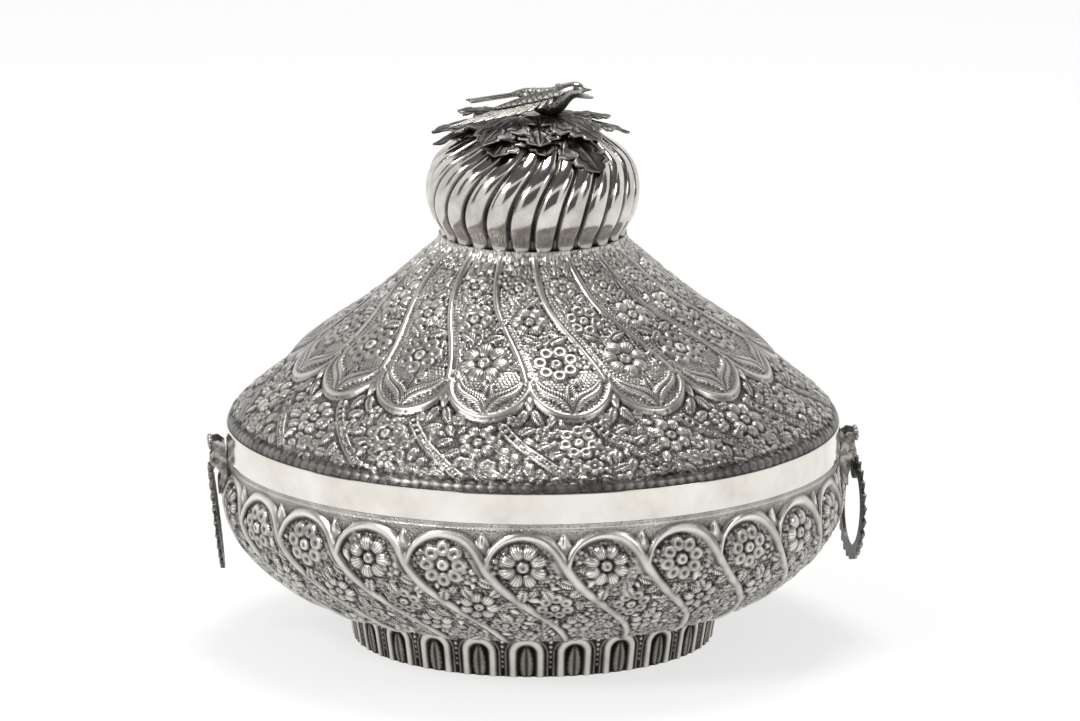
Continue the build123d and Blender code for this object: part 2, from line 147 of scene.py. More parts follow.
@dataclass(frozen=True)
class SilverFinish:
    """One way that a silver surface is worked and toned.

    Attributes:
        name: The material's name.
        stops: Colours from the blackened recesses to the rubbed high points.
        rough_low: Roughness in the recesses.
        rough_high: Roughness on the high points.
        tone: How rubbed the surface is where no relief says so.
        cloud_mm: Size of the patches that tarnish leaves.
        cloud: How much the tarnish changes the tone.
        grain_mm: Spacing of the fine planishing or casting texture.
        grain: Depth of that texture in mm.
        matting_mm: Spacing of the punched dots on the ground.
        matting: Depth of the punched dots in mm.
        carved: Whether the mesh carries the relief's attributes.
    """

    name: str
    stops: tuple[tuple[float, str], ...]
    rough_low: float
    rough_high: float
    tone: float = 0.7
    cloud_mm: float = 9.0
    cloud: float = 0.25
    grain_mm: float = 1.2
    grain: float = 0.02
    matting_mm: float = 1.15
    matting: float = 0.0
    carved: bool = False

    def build(self) -> Material:
        """Make the Blender material.

        Returns:
            The finished material.
        """
        material = bpy.data.materials.new(self.name)
        tree = clear_tree(material)
        place = add_node(tree, "TexCoord").outputs["Object"]
        cloud = add_node(tree, "TexNoise", None, {
            "Vector": place, "Scale": 1 / (self.cloud_mm * MM), "Detail": 4.0, "Roughness": 0.6})
        # tarnish gathers in soft patches and leaves other places brighter
        patch = add_node(tree, "MapRange", None, {
            "Value": cloud.outputs["Fac"], "From Min": 0.3, "From Max": 0.7,
            "To Min": -self.cloud, "To Max": self.cloud})
        tone = add_node(tree, "Math", {"operation": "ADD", "use_clamp": True}, {
            0: patch.outputs["Result"], 1: self.tone})
        lines = None
        if self.carved:
            polish = add_node(tree, "Attribute", {"attribute_name": "polish"})
            lines = self._trace_lines(tree)
            # black stays in the traced lines
            worn = add_node(tree, "Math", {"operation": "MULTIPLY_ADD"}, {
                0: lines, 1: -0.4, 2: polish.outputs["Fac"]})
            tree.links.new(worn.outputs["Value"], tone.inputs[1])
        ramp = add_node(tree, "ValToRGB", None, {"Fac": tone.outputs["Value"]})
        set_ramp(ramp.color_ramp, self.stops)
        rough = add_node(tree, "MapRange", None, {
            "Value": tone.outputs["Value"], "To Min": self.rough_low, "To Max": self.rough_high})
        # hammer and polishing marks bend the reflections a little
        grain = add_node(tree, "TexNoise", None, {
            "Vector": place, "Scale": 1 / (self.grain_mm * MM), "Detail": 3.0})
        surface = add_node(tree, "Bump", None, {
            "Height": grain.outputs["Fac"], "Strength": 1.0, "Distance": self.grain * MM})
        if lines is not None:
            surface = self._add_tooling(tree, place, surface, lines)
        metal = add_node(tree, "BsdfPrincipled", None, {
            "Base Color": ramp.outputs["Color"], "Metallic": 1.0,
            "Roughness": rough.outputs["Result"], "Normal": surface.outputs["Normal"]})
        add_node(tree, "OutputMaterial", None, {"Surface": metal.outputs["BSDF"]})
        return material

    @staticmethod
    def _trace_lines(tree: NodeTree) -> NodeSocket:
        """Work out the tracer's fine lines along leaves, petals and feathers.

        Args:
            tree: The material's node tree.

        Returns:
            How deep each place lies in a line, 0 to 1.
        """
        phase = add_node(tree, "Attribute", {"attribute_name": "phase"})
        wave = add_node(tree, "Math", {"operation": "SINE"}, {0: phase.outputs["Fac"]})
        above = add_node(tree, "Math", {"operation": "MAXIMUM"}, {0: wave.outputs["Value"], 1: 0.0})
        narrow = add_node(tree, "Math", {"operation": "POWER"}, {0: above.outputs["Value"], 1: 2.2})
        traced = add_node(tree, "Attribute", {"attribute_name": "traced"})
        return add_node(tree, "Math", {"operation": "MULTIPLY"}, {
            0: narrow.outputs["Value"], 1: traced.outputs["Fac"]}).outputs["Value"]

    def _add_tooling(self, tree: NodeTree, place: NodeSocket,
                     under: bpy.types.Node, lines: NodeSocket) -> bpy.types.Node:
        """Add the punched dots and the traced lines to the bump.

        Args:
            tree: The material's node tree.
            place: The Object coordinates.
            under: The bump node that these marks lie on.
            lines: How deep each place lies in a traced line.

        Returns:
            The last bump node.
        """
        # the matting punch leaves round pits side by side on the sunk ground
        pits = add_node(tree, "TexVoronoi", None, {
            "Vector": place, "Scale": 1 / (self.matting_mm * MM)})
        ground = add_node(tree, "Attribute", {"attribute_name": "matting"})
        pitted = add_node(tree, "Math", {"operation": "MULTIPLY"}, {
            0: pits.outputs["Distance"], 1: ground.outputs["Fac"]})
        dots = add_node(tree, "Bump", None, {
            "Height": pitted.outputs["Value"], "Strength": 1.0, "Distance": self.matting * MM,
            "Normal": under.outputs["Normal"]})
        return add_node(tree, "Bump", {"invert": True}, {
            "Height": lines, "Strength": 1.0, "Distance": 0.22 * MM, "Normal": dots.outputs["Normal"]})


# raised sheet silver, chased all over: black in the ground, rubbed bright on top
CHASED = SilverFinish(
    "chased_silver_relief", ((0.0, "1f1e1d"), (0.3, "5f5d5a"), (0.55, "9f9c97"), (0.95, "e8e5df")),
    0.46, 0.28, cloud_mm=16.0, cloud=0.1, grain_mm=2.2, grain=0.05, matting=0.6, carved=True)
# the buffed gadroons and the ground lines between them
GADROON = SilverFinish(
    "buffed_silver_gadroons", ((0.0, "2b2a29"), (0.35, "716e6a"), (0.7, "b4b0aa"), (1.0, "dedad4")),
    0.45, 0.09, cloud_mm=16.0, cloud=0.16, grain_mm=9.0, grain=0.12, matting=0.4, carved=True)
# plain band, buffed with soft cloth: bright, with shallow hammer waves left in it
BUFFED = SilverFinish(
    "buffed_sheet_silver", ((0.0, "b9b5ae"), (0.5, "dcd8d1"), (1.0, "efece6")),
    0.2, 0.1, tone=0.62, cloud_mm=30.0, cloud=0.3, grain_mm=14.0, grain=0.08)
# vine leaves stamped from sheet, dark with sulphide and rubbed on the veins
OXIDISED = SilverFinish(
    "oxidised_silver_leaf", ((0.0, "181716"), (0.4, "454341"), (0.75, "8a8782"), (1.0, "d6d3cc")),
    0.6, 0.36, cloud_mm=7.0, cloud=0.16, grain_mm=1.4, grain=0.06, matting=0.2, carved=True)
# cast and chased bird: satin, with dark feather lines
CAST = SilverFinish(
    "cast_silver_feathers", ((0.0, "232221"), (0.4, "5d5b58"), (0.75, "a19e98"), (1.0, "e4e1da")),
    0.45, 0.2, cloud_mm=6.0, cloud=0.12, grain_mm=1.0, grain=0.04, matting=0.2, carved=True)
# the foot is handled least: warm grey, with black between its arches
FOOT = SilverFinish(
    "worn_silver_foot", ((0.0, "161514"), (0.35, "4a4744"), (0.7, "8f8a84"), (1.0, "d6d1c9")),
    0.55, 0.24, cloud_mm=12.0, cloud=0.08, grain_mm=1.6, grain=0.05, matting=0.3, carved=True)
# brackets, pins and the fastening under the finial: filed and left satin
SATIN = SilverFinish(
    "filed_silver_fittings", ((0.0, "3a3937"), (0.5, "86837e"), (1.0, "cfccc5")),
    0.45, 0.25, tone=0.5, cloud_mm=3.5, cloud=0.4, grain_mm=0.9, grain=0.05)


@dataclass(frozen=True)
class WallPath:
    """The outer line of a wall, from its top down, in mm.

    Attributes:
        points: Radius and height of the points that the line passes.
        start: Direction at the first point.
        end: Direction at the last point.
        straight: Length of the upright part above the first point.
    """

    points: tuple[Spot, ...]
    start: Spot
    end: Spot
    straight: float = 0.0

    def rows(self, pitch: float) -> tuple[ndarray, ndarray, ndarray]:
        """Sample the line at an even pitch.

        Args:
            pitch: Wanted distance between rows in mm.

        Returns:
            Distance down the wall, points (radius, height) and outward normals.
        """
        knots = np.array(self.points, float)
        chord = np.hypot(*np.diff(knots, axis=0).T)
        count = len(knots)
        system = np.zeros((count, count))
        right = np.zeros((count, 2))
        system[0, 0] = system[-1, -1] = 1
        right[0] = np.array(self.start) / np.hypot(*self.start)
        right[-1] = np.array(self.end) / np.hypot(*self.end)
        for i in range(1, count - 1):
            before, after = chord[i - 1], chord[i]
            system[i, i - 1:i + 2] = (1 / before, 2 / before + 2 / after, 1 / after)
            right[i] = 3 * ((knots[i] - knots[i - 1]) / before ** 2
                            + (knots[i + 1] - knots[i]) / after ** 2)
        slope = np.linalg.solve(system, right)
        line = []
        for i in range(count - 1):
            t = np.linspace(0, 1, 200, endpoint=i == count - 2)[:, None]
            line.append((2 * t ** 3 - 3 * t ** 2 + 1) * knots[i]
                        + (t ** 3 - 2 * t ** 2 + t) * chord[i] * slope[i]
                        + (3 * t ** 2 - 2 * t ** 3) * knots[i + 1]
                        + (t ** 3 - t ** 2) * chord[i] * slope[i + 1])
        line = np.concatenate(line)
        if self.straight:
            line = np.concatenate([line[:1] + [0, self.straight], line])
        run = np.concatenate([[0], np.cumsum(np.hypot(*np.diff(line, axis=0).T))])
        stations = np.linspace(0, run[-1], int(round(run[-1] / pitch)) + 1)
        points = np.stack([np.interp(stations, run, line[:, k]) for k in (0, 1)], axis=1)
        along = np.gradient(points, axis=0)
        along /= np.hypot(*along.T)[:, None]
        return stations, points, np.stack([-along[:, 1], along[:, 0]], axis=1)


class Relief:
    """Chased relief on a grid of columns round the axis and rows down a wall.

    Angles are degrees from the camera's side towards its right, distances mm from
    the wall's top down. A tool's turn is its tip's direction, clockwise from up.
    """

    def __init__(self, columns: int, stations: ndarray, radii: ndarray, seed: int) -> None:
        """Start with a flat, matted ground.

        Args:
            columns: Columns round the axis.
            stations: Distance of each row down the wall.
            radii: Radius of each row.
            seed: Seed of the hand's small unevenness.
        """
        self.columns = columns
        self.stations = stations
        self.radii = radii
        self.angles = np.arange(columns) * 360 / columns
        shape = (len(stations), columns)
        self.height = np.zeros(shape)
        self.matting = np.ones(shape)
        self.phase = np.zeros(shape)
        self.traced = np.zeros(shape)
        self.shine = np.zeros(shape)
        self.chance = np.random.default_rng(seed)

    def row_at(self, down: float) -> int:
        """Return the row that lies at a distance down the wall."""
        return int(np.clip(np.searchsorted(self.stations, down), 0, len(self.stations) - 1))

    def radius_at(self, down: float) -> float:
        """Return the wall's radius in mm at a distance down it."""
        return float(np.interp(down, self.stations, self.radii))

    def beside(self, at: Spot, aside: float) -> Spot:
        """Return the place at a distance in mm to the right of another."""
        return at[0] + math.degrees(aside / self.radius_at(at[1])), at[1]

    def vary(self, value: float, share: float = 0.08) -> float:
        """Return a value with the hand's unevenness, as a share of it."""
        return value * (1 + share * (self.chance.random() * 2 - 1))

    def shift(self, amount: float) -> float:
        """Return a small step either way, at most the amount."""
        return amount * (self.chance.random() * 2 - 1)

    def window(self, at: Spot, reach: float) -> tuple | None:
        """Find the cells round a place.

        Args:
            at: Angle and distance down of the place.
            reach: How far out the cells go in mm.

        Returns:
            The cells, and how far each lies to the right and down in mm, or None
            where the place is off the grid.
        """
        first, last = np.searchsorted(self.stations, (at[1] - reach, at[1] + reach))
        if first >= last:
            return None
        rows = np.arange(first, last)
        radius = self.radii[rows][:, None]
        pitch = 360 / self.columns
        half = int(math.degrees(reach / float(radius.min())) / pitch) + 1
        middle = int(round(at[0] / pitch))
        columns = np.arange(middle - half, middle + half + 1)
        right = np.radians(columns * pitch - at[0])[None, :] * radius
        down = np.broadcast_to((self.stations[rows] - at[1])[:, None], right.shape)
        return np.ix_(rows, columns % self.columns), right, down

    def stamp(self, cells: tuple, shape: ndarray, base: float, matting: float = 0.0,
              phase: ndarray | None = None, traced: float = 0.0, shine: float = 0.0) -> None:
        """Raise the cells to a shape where it stands above what is there.

        Args:
            cells: The cells, as window gives them.
            shape: Height above the base in mm, 0 or less outside the shape.
            base: Height that the shape stands on.
            matting: How much of the ground's dots stays on it.
            phase: Phase of the chased lines at each cell.
            traced: Depth of those lines.
            shine: How much brighter than its height says the shape is rubbed.
        """
        now = self.height[cells]
        hit = (shape > 0) & (base + shape > now)
        self.height[cells] = np.where(hit, base + shape, now)
        self.matting[cells] = np.where(hit, matting, self.matting[cells])
        self.shine[cells] = np.where(hit, shine, self.shine[cells])
        self.traced[cells] = np.where(hit, traced * np.clip(shape * 2, 0, 1), self.traced[cells])
        if phase is not None:
            self.phase[cells] = np.where(hit, phase, self.phase[cells])

    @staticmethod
    def _turned(right: ndarray, down: ndarray, turn: float) -> tuple[ndarray, ndarray]:
        """Turn local places so that the second result runs to the tip.

        Args:
            right: Places to the right.
            down: Places down the wall.
            turn: Direction of the tip in degrees.

        Returns:
            Places across and along the turned axis.
        """
        angle = math.radians(turn)
        side = right * math.cos(angle) + down * math.sin(angle)
        ahead = right * math.sin(angle) - down * math.cos(angle)
        return side, ahead

    def flower(self, at: Spot, radius: float, petals: int, base: float, rise: float = 1.4,
               ringed: bool = False) -> None:
        """Raise an open flower of knobby petals round a pierced bead.

        Args:
            at: Its middle.
            radius: Its radius in mm.
            petals: Number of petals.
            base: Height of the ground under it.
            rise: Height of the petals.
            ringed: Whether a punch has hollowed each petal, instead of traced lines.
        """
        found = self.window(at, radius * 1.05)
        if found is None:
            return
        cells, right, down = found
        spread = np.hypot(right, down) / radius
        angle = np.arctan2(right, down) + self.chance.random() * 6
        pitch = math.tau / petals
        turn = (angle + pitch / 2) % pitch - pitch / 2
        wide = min(0.42, 0.66 * math.sin(pitch / 2) * 1.2)
        off = np.hypot((spread * np.cos(turn) - 0.65) / 0.35, spread * np.sin(turn) / wide)
        petal = np.clip(1 - off ** 2, 0, 1) ** 0.5
        if ringed:
            petal -= 0.7 * np.exp(-(off / 0.42) ** 2)
        bead = np.clip(1 - (spread / 0.28) ** 2, 0, 1) ** 0.5 * 1.2 - 0.7 * np.exp(-(spread / 0.11) ** 2)
        shape = np.maximum(petal * (spread > 0.31), bead) * rise
        self.stamp(cells, shape, base, phase=turn / pitch * 30, traced=0.15 if ringed else 0.8,
                   shine=0.0 if ringed else 0.1)

    def leaf(self, at: Spot, length: float, width: float, turn: float, base: float,
             rise: float = 1.2, curl: float = 0.0, shine: float = 0.0, sway: float = 0.0) -> None:
        """Raise a pointed leaf with a sunk midrib and slanting veins.

        Args:
            at: The foot of its stalk.
            length: Its length in mm.
            width: Its greatest width in mm.
            turn: Direction of its tip.
            base: Height of the ground under it.
            rise: Height of its swell.
            curl: How far its tip bends to the right in mm.
            shine: How much brighter it is rubbed.
            sway: How far it swings to the right first, then to the left, in mm.
        """
        reach = length / 2
        angle = math.radians(turn)
        step = math.degrees(reach * math.sin(angle) / self.radii[self.row_at(at[1])])
        found = self.window((at[0] + step, at[1] - reach * math.cos(angle)), reach * 1.1 + width / 2)
        if found is None:
            return
        cells, right, down = found
        side, ahead = self._turned(right, down, turn)
        t = np.clip((ahead + reach) / length, 0, 1)
        side = side - curl * t ** 2 - sway * np.sin(math.tau * t)
        half = width / 2 * np.sin(math.pi * t ** 0.75) ** 0.7 * (1 + 0.08 * np.sin(t * length * 2.4))
        across = np.abs(side) / np.maximum(half, 0.05)
        swell = np.clip(1 - across ** 3, 0, 1) ** 0.6 * (0.7 + 0.3 * np.sin(math.pi * t))
        rib = np.exp(-(side / 0.5) ** 2)
        shape = np.where((t > 0) & (t < 1), swell * rise - 0.5 * rise * rib * (swell > 0.1), 0)
        veins = (t * length - np.abs(side) * 0.9) * (2 * math.pi / 1.5)
        self.stamp(cells, shape, base, phase=veins, traced=1.0, shine=shine)

    def bud(self, at: Spot, length: float, width: float, turn: float, base: float,
            rise: float = 1.2, shine: float = 0.1) -> None:
        """Raise a smooth drop with its point at the tip.

        Args:
            at: Its middle.
            length: Its length in mm.
            width: Its width in mm.
            turn: Direction of its point.
            base: Height of the ground under it.
            rise: Height of its swell.
            shine: How much brighter it is rubbed.
        """
        found = self.window(at, max(length, width) * 0.6)
        if found is None:
            return
        cells, right, down = found
        side, ahead = self._turned(right, down, turn)
        t = np.clip(ahead / length + 0.5, 0, 1)
        half = width / 2 * np.sin(math.pi * t ** 0.62) ** 0.75
        across = np.abs(side) / np.maximum(half, 0.05)
        shape = np.sqrt(np.clip(1 - across ** 2, 0, 1)) * rise * (0.7 + 0.3 * np.sin(math.pi * t))
        self.stamp(cells, np.where((t > 0) & (t < 1), shape, 0), base, shine=shine)

    def bead(self, at: Spot, radius: float, base: float, rise: float) -> None:
        """Raise a round bead of a radius and a height."""
        found = self.window(at, radius)
        if found is not None:
            cells, right, down = found
            dome = np.sqrt(np.clip(1 - (right ** 2 + down ** 2) / radius ** 2, 0, 1))
            self.stamp(cells, dome * rise, base, shine=0.08)

    def ridge(self, points: Sequence[Spot], width: float, base: float, rise: float,
              shine: float = 0.0, sink: float = 0.0) -> None:
        """Raise a round ridge along a line, with a traced line on each side.

        Args:
            points: Places along its middle.
            width: Its width in mm.
            base: Height of the ground under it.
            rise: Height of its crown.
            shine: How much brighter it is rubbed.
            sink: Depth of the lines beside it.
        """
        for (a0, s0), (a1, s1) in zip(points[:-1], points[1:]):
            middle = ((a0 + a1) / 2, (s0 + s1) / 2)
            run = np.array([math.radians(a1 - a0) * self.radii[self.row_at(middle[1])], s1 - s0])
            length = float(np.hypot(*run))
            if length < 1e-6:
                continue
            found = self.window(middle, length / 2 + width)
            if found is None:
                continue
            cells, right, down = found
            share = np.clip((right * run[0] + down * run[1]) / length ** 2, -0.5, 0.5)
            off = np.hypot(right - share * run[0], down - share * run[1]) / (width / 2)
            self.stamp(cells, np.clip(1 - off ** 2, 0, 1) ** 0.75 * rise, base, shine=shine)
            if sink:
                now = self.height[cells]
                line = (off > 1) & (off < 1.5) & (now <= base + 0.05)
                self.height[cells] = np.where(line, base - sink, now)

    def beads(self, points: Sequence[Spot], spacing: float, radius: float, base: float,
              rise: float) -> None:
        """Raise a row of beads along a line.

        Args:
            points: Places along the row.
            spacing: Distance between beads in mm.
            radius: Radius of a bead.
            base: Height of the ground under them.
            rise: Height of a bead.
        """
        for (a0, s0), (a1, s1) in zip(points[:-1], points[1:]):
            wall_radius = self.radii[self.row_at((s0 + s1) / 2)]
            run = math.hypot(math.radians(a1 - a0) * wall_radius, s1 - s0)
            count = max(1, int(round(run / spacing)))
            for k in range(count):
                share = k / count
                self.bead((a0 + (a1 - a0) * share, s0 + (s1 - s0) * share), radius, base, rise)

    def pearl(self, first: float, last: float, base: float, inside: ndarray) -> None:
        """Punch small pearls side by side into the ground that is still bare.

        Args:
            first: Distance down of the first row.
            last: Distance down of the last row.
            base: Height of the ground.
            inside: Mask of the cells where a middle may lie.
        """
        down_pitch, round_pitch, radius, rise = 1.95, 2.15, 0.9, 0.55
        for index, station in enumerate(np.arange(first, last, down_pitch)):
            row = self.row_at(station)
            count = int(math.tau * self.radii[row] / round_pitch)
            for k in range(count):
                # every other row is set half a step on
                angle = (k + 0.5 * (index % 2)) * 360 / count
                column = int(angle * self.columns / 360) % self.columns
                if inside[row, column] and self.height[row, column] < base + 0.1:
                    self.bead((angle, station), radius, base, rise)

    def is_free(self, at: Spot, reach: float, base: float) -> bool:
        """Tell whether the ground round a place still lies bare.

        Args:
            at: The place.
            reach: Distance to look over, in mm.
            base: Height of the bare ground.

        Returns:
            True where hardly anything rises from it.
        """
        found = self.window(at, reach)
        if found is None:
            return False
        cells, right, down = found
        near = np.hypot(right, down) < reach
        return float((self.height[cells][near] > base + 0.15).mean()) < 0.12

    def fill(self, first: float, last: float, spacing: float, base: float, lean: float,
             inside: ndarray) -> None:
        """Set small leaves, drops and blossoms on the ground that is still bare.

        Args:
            first: Distance down of the first row of places.
            last: Distance down of the last row.
            spacing: Distance between places in mm.
            base: Height of the ground.
            lean: Direction that the leaves mostly point to.
            inside: Mask of the cells where a middle may lie.
        """
        # the gaps that the large ones leave are filled with smaller ones
        for size in (1.0, 0.76, 0.57):
            station = first
            while station <= last:
                row = self.row_at(station)
                count = int(math.tau * self.radii[row] / (spacing * size))
                for k in range(count):
                    at = ((k + self.chance.random()) * 360 / count,
                          station + self.shift(spacing * size / 2))
                    pick = self.chance.random()
                    turn = lean + self.shift(70)
                    column = int(at[0] * self.columns / 360) % self.columns
                    if not inside[row, column] or not self.is_free(at, 3.1 * size, base):
                        continue
                    if pick < 0.42:
                        self.leaf(at, 9.4 * size, 5.8 * size, turn, base, 1.5, self.shift(1.6), 0.06)
                    elif pick < 0.6:
                        self.bud(at, 7.4 * size, 4.4 * size, turn, base, 1.5)
                    else:
                        self.flower(at, 5.0 * size, 5, base, 1.5, pick > 0.8)
                station += spacing * size * 0.8

    def soften(self) -> None:
        """Round the relief a little, as work from behind the sheet does."""
        for axis in (0, 1):
            before = np.roll(self.height, 1, axis)
            after = np.roll(self.height, -1, axis)
            if axis == 0:
                before[0], after[-1] = self.height[0], self.height[-1]
            self.height = 0.2 * before + 0.6 * self.height + 0.2 * after

    def polish(self, reach: int, span: float, level: float) -> ndarray:
        """Work out how rubbed each cell is.

        Args:
            reach: Cells each way that a cell is compared with.
            span: Height difference in mm to the nearest cells that goes from black to bright.
            level: Tone of a cell that is as high as its surroundings.

        Returns:
            A tone for each cell, 0 in recesses and 1 on high points.
        """
        near = self.height - self._mean(reach)
        far = self.height - self._mean(reach * 3)
        return np.clip(level + near / span + far / span / 2.5 + self.shine, 0.0, 1.0)

    def _mean(self, reach: int) -> ndarray:
        """Average the height over the cells round each cell.

        Args:
            reach: Number of cells to each side.

        Returns:
            The mean heights.
        """
        mean = self.height
        for axis in (0, 1):
            total = np.zeros_like(mean)
            for step in range(-reach, reach + 1):
                moved = np.roll(mean, step, axis)
                if axis == 0 and step > 0:
                    moved[:step] = mean[:1]
                elif axis == 0 and step < 0:
                    moved[step:] = mean[-1:]
                total += moved
            mean = total / (2 * reach + 1)
        return mean


def bearing(angle: float) -> Vector:
    """Return the unit vector at an angle from -Y towards +X, in degrees."""
    return Vector((math.sin(math.radians(angle)), -math.cos(math.radians(angle)), 0))


def settle(bm: BMesh, name: str, body: Body, slot: Slot, finish: Material,
           stands_for: Sequence[str] = (), smooth: bool = True) -> Object:
    """Turn a bmesh into a named piece that rides on a body.

    Args:
        bm: The finished bmesh, which is freed.
        name: The piece's name.
        body: The body that it moves with.
        slot: The record's slot. It is not used.
        finish: Its material.
        stands_for: CAD nodes that it stands for.
        smooth: Whether its faces are shaded smooth.

    Returns:
        The new object.
    """
    mesh = bpy.data.meshes.new(name)
    bm.to_mesh(mesh)
    bm.free()
    mesh.polygons.foreach_set("use_smooth", [smooth] * len(mesh.polygons))
    mesh.materials.append(finish)
    piece = bpy.data.objects.new(name, mesh)
    bpy.context.scene.collection.objects.link(piece)
    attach(piece, body.value)
    if stands_for:
        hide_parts(*stands_for)
    return piece


def smooth_line(values: ndarray, reach: int) -> ndarray:
    """Return values evened out along a line, with its ends held.

    Args:
        values: The values in order.
        reach: Number of values each way that count for one.

    Returns:
        As many values.
    """
    kernel = np.hanning(2 * reach + 1)
    return np.convolve(np.pad(values, reach, "edge"), kernel / kernel.sum(), "valid")


def read_places(mesh: Mesh) -> ndarray:
    """Read the places of a mesh's vertices.

    Args:
        mesh: The mesh.

    Returns:
        A row for each vertex, in metres.
    """
    place = np.empty(len(mesh.vertices) * 3, np.float32)
    mesh.vertices.foreach_get("co", place)
    return place.reshape(-1, 3)


def write_places(mesh: Mesh, place: ndarray) -> None:
    """Move a mesh's vertices to places in metres, a row for each."""
    mesh.vertices.foreach_set("co", place.astype(np.float32).ravel())
    mesh.update()


def add_attribute(mesh: Mesh, name: str, values: ndarray) -> None:
    """Store a number on each vertex of a mesh, under a name."""
    layer = mesh.attributes.get(name) or mesh.attributes.new(name, "FLOAT", "POINT")
    layer.data.foreach_set("value", np.ascontiguousarray(values, np.float32))


def spin_section(bm: BMesh, section: Sequence[Spot], steps: int, angle: float = 0.0,
                 closed: bool = True) -> None:
    """Spin a section given in mm once round the Z axis, sector by sector.

    Args:
        bm: The bmesh that takes the shape.
        section: Radius and height of the section's points, in order.
        steps: Steps of the full turn.
        angle: Bearing of the section, from -Y towards +X.
        closed: Whether the section is a closed loop.
    """
    sector = max(count for count in range(1, 65) if steps % count == 0)
    share = math.tau * sector / steps
    out = bearing(angle)
    part = bmesh.new()
    layer = part.verts.layers.float.new("row")
    verts = []
    for index, (radius, height) in enumerate(section):
        vert = part.verts.new((out.x * radius * MM, out.y * radius * MM, height * MM))
        vert[layer] = index
        verts.append(vert)
    edges = [part.edges.new(pair) for pair in zip(verts[:-1], verts[1:])]
    if closed:
        edges.append(part.edges.new((verts[-1], verts[0])))
    bmesh.ops.spin(part, geom=verts + edges, cent=(0, 0, 0), axis=(0, 0, 1), dvec=(0, 0, 0),
                   angle=share, steps=sector, use_merge=False)
    mesh = bpy.data.meshes.new("sector")
    part.to_mesh(mesh)
    part.free()
    for turn in range(steps // sector):
        before = len(bm.verts)
        bm.from_mesh(mesh)
        bm.verts.ensure_lookup_table()
        bmesh.ops.rotate(bm, cent=(0, 0, 0), matrix=Matrix.Rotation(share * turn, 3, "Z"),
                         verts=bm.verts[before:])
    bpy.data.meshes.remove(mesh)
    bmesh.ops.remove_doubles(bm, verts=bm.verts, dist=0.004 * MM)


def soften_corners(bm: BMesh, width: float, limit: float = 35.0) -> None:
    """Bevel the edges of a closed shape that turn by more than a limit.

    Args:
        bm: The bmesh to work on.
        width: Width of the bevel in mm.
        limit: Least turn of an edge in degrees.
    """
    sharp = [edge for edge in bm.edges if len(edge.link_faces) == 2
             and edge.calc_face_angle() > math.radians(limit)]
    bmesh.ops.bevel(bm, geom=sharp, offset=width * MM, affect="EDGES", segments=2, profile=0.5,
                    material=-1)


@dataclass
class ChasedWall:
    """A spun wall whose outside carries a relief, built in closed zones.

    Attributes:
        relief: The relief of the whole wall.
        points: Radius and height of the wall's outer line at each row.
        normals: Its outward direction at each row.
        depth: How deep below the outer line the relief's ground lies at each row.
        back: Thickness behind the ground at each row.
        polish: Tone of each cell.
        finish: The wall's silver.
        start: Bearing of the relief's first column.
    """

    relief: Relief
    points: ndarray
    normals: ndarray
    depth: ndarray
    back: ndarray
    polish: ndarray
    finish: Material
    start: float = -CAMERA_BEARING

    def build(self, zones: Sequence[tuple[str, float]], body: Body, slot: Slot,
              stands_for: str) -> list[Object]:
        """Spin the wall and press the relief into it.

        Args:
            zones: Name of each zone from the top down, and the share of the rows
                that lies above its end.
            body: The body that they move with.
            slot: The record's slot.
            stands_for: The CAD node that they stand for.

        Returns:
            The new pieces.
        """
        pieces = []
        first = 0
        for name, share in zones:
            last = int((len(self.points) - 1) * share)
            inner = np.unique(np.linspace(last, first, 9).round().astype(int))[::-1]
            hidden = self.points[inner] - self.normals[inner] * (self.depth + self.back)[inner][:, None]
            section = [tuple(point) for point in (*self.points[first:last + 1], *hidden)]
            bm = bmesh.new()
            spin_section(bm, section, self.relief.columns, self.start)
            self._crease(bm, last - first)
            bmesh.ops.recalc_face_normals(bm, faces=bm.faces)
            piece = settle(bm, name, body, slot, self.finish, (stands_for,))
            self._press(piece.data, first, last - first)
            pieces.append(piece)
            first = last
        return pieces

    @staticmethod
    def _crease(bm: BMesh, last: int) -> None:
        """Keep the edges sharp behind and at both ends of a zone's outside.

        Args:
            bm: The zone's bmesh.
            last: Last outer row of its section.
        """
        layer = bm.verts.layers.float["row"]
        for edge in bm.edges:
            one, other = (int(vert[layer]) for vert in edge.verts)
            if max(one, other) > last or (one == other and one in (0, last)):
                edge.smooth = False

    def _press(self, mesh: Mesh, first: int, last: int) -> None:
        """Move a zone's outer vertices to the relief and store its tones.

        Args:
            mesh: The zone's mesh.
            first: The wall's row that the zone starts at.
            last: Last outer row of the zone's section.
        """
        relief = self.relief
        place = read_places(mesh).astype(float)
        row = np.empty(len(place), np.float32)
        mesh.attributes["row"].data.foreach_get("value", row)
        row = row.round().astype(int)
        turn = np.degrees(np.arctan2(place[:, 0], -place[:, 1])) - self.start
        column = np.round(turn * relief.columns / 360).astype(int) % relief.columns
        outside = row <= last
        rows, columns = cell = (row[outside] + first, column[outside])
        sunk = self.depth[rows] - relief.height[cell]
        line = self.points[rows] - self.normals[rows] * sunk[:, None]
        angle = np.radians(columns * 360 / relief.columns + self.start)
        place[outside] = MM * np.stack(
            [np.sin(angle) * line[:, 0], -np.cos(angle) * line[:, 0], line[:, 1]], axis=1)
        write_places(mesh, place)
        # the wall's hidden side has the tone of a recess
        tones = (self.polish, 0.25), (relief.matting, 0.0), (relief.phase, 0.0), (relief.traced, 0.0)
        for name, (values, hidden) in zip(ATTRIBUTES, tones):
            full = np.full(len(place), hidden)
            full[outside] = values[cell]
            add_attribute(mesh, name, full)
        mesh.attributes.remove(mesh.attributes["row"])


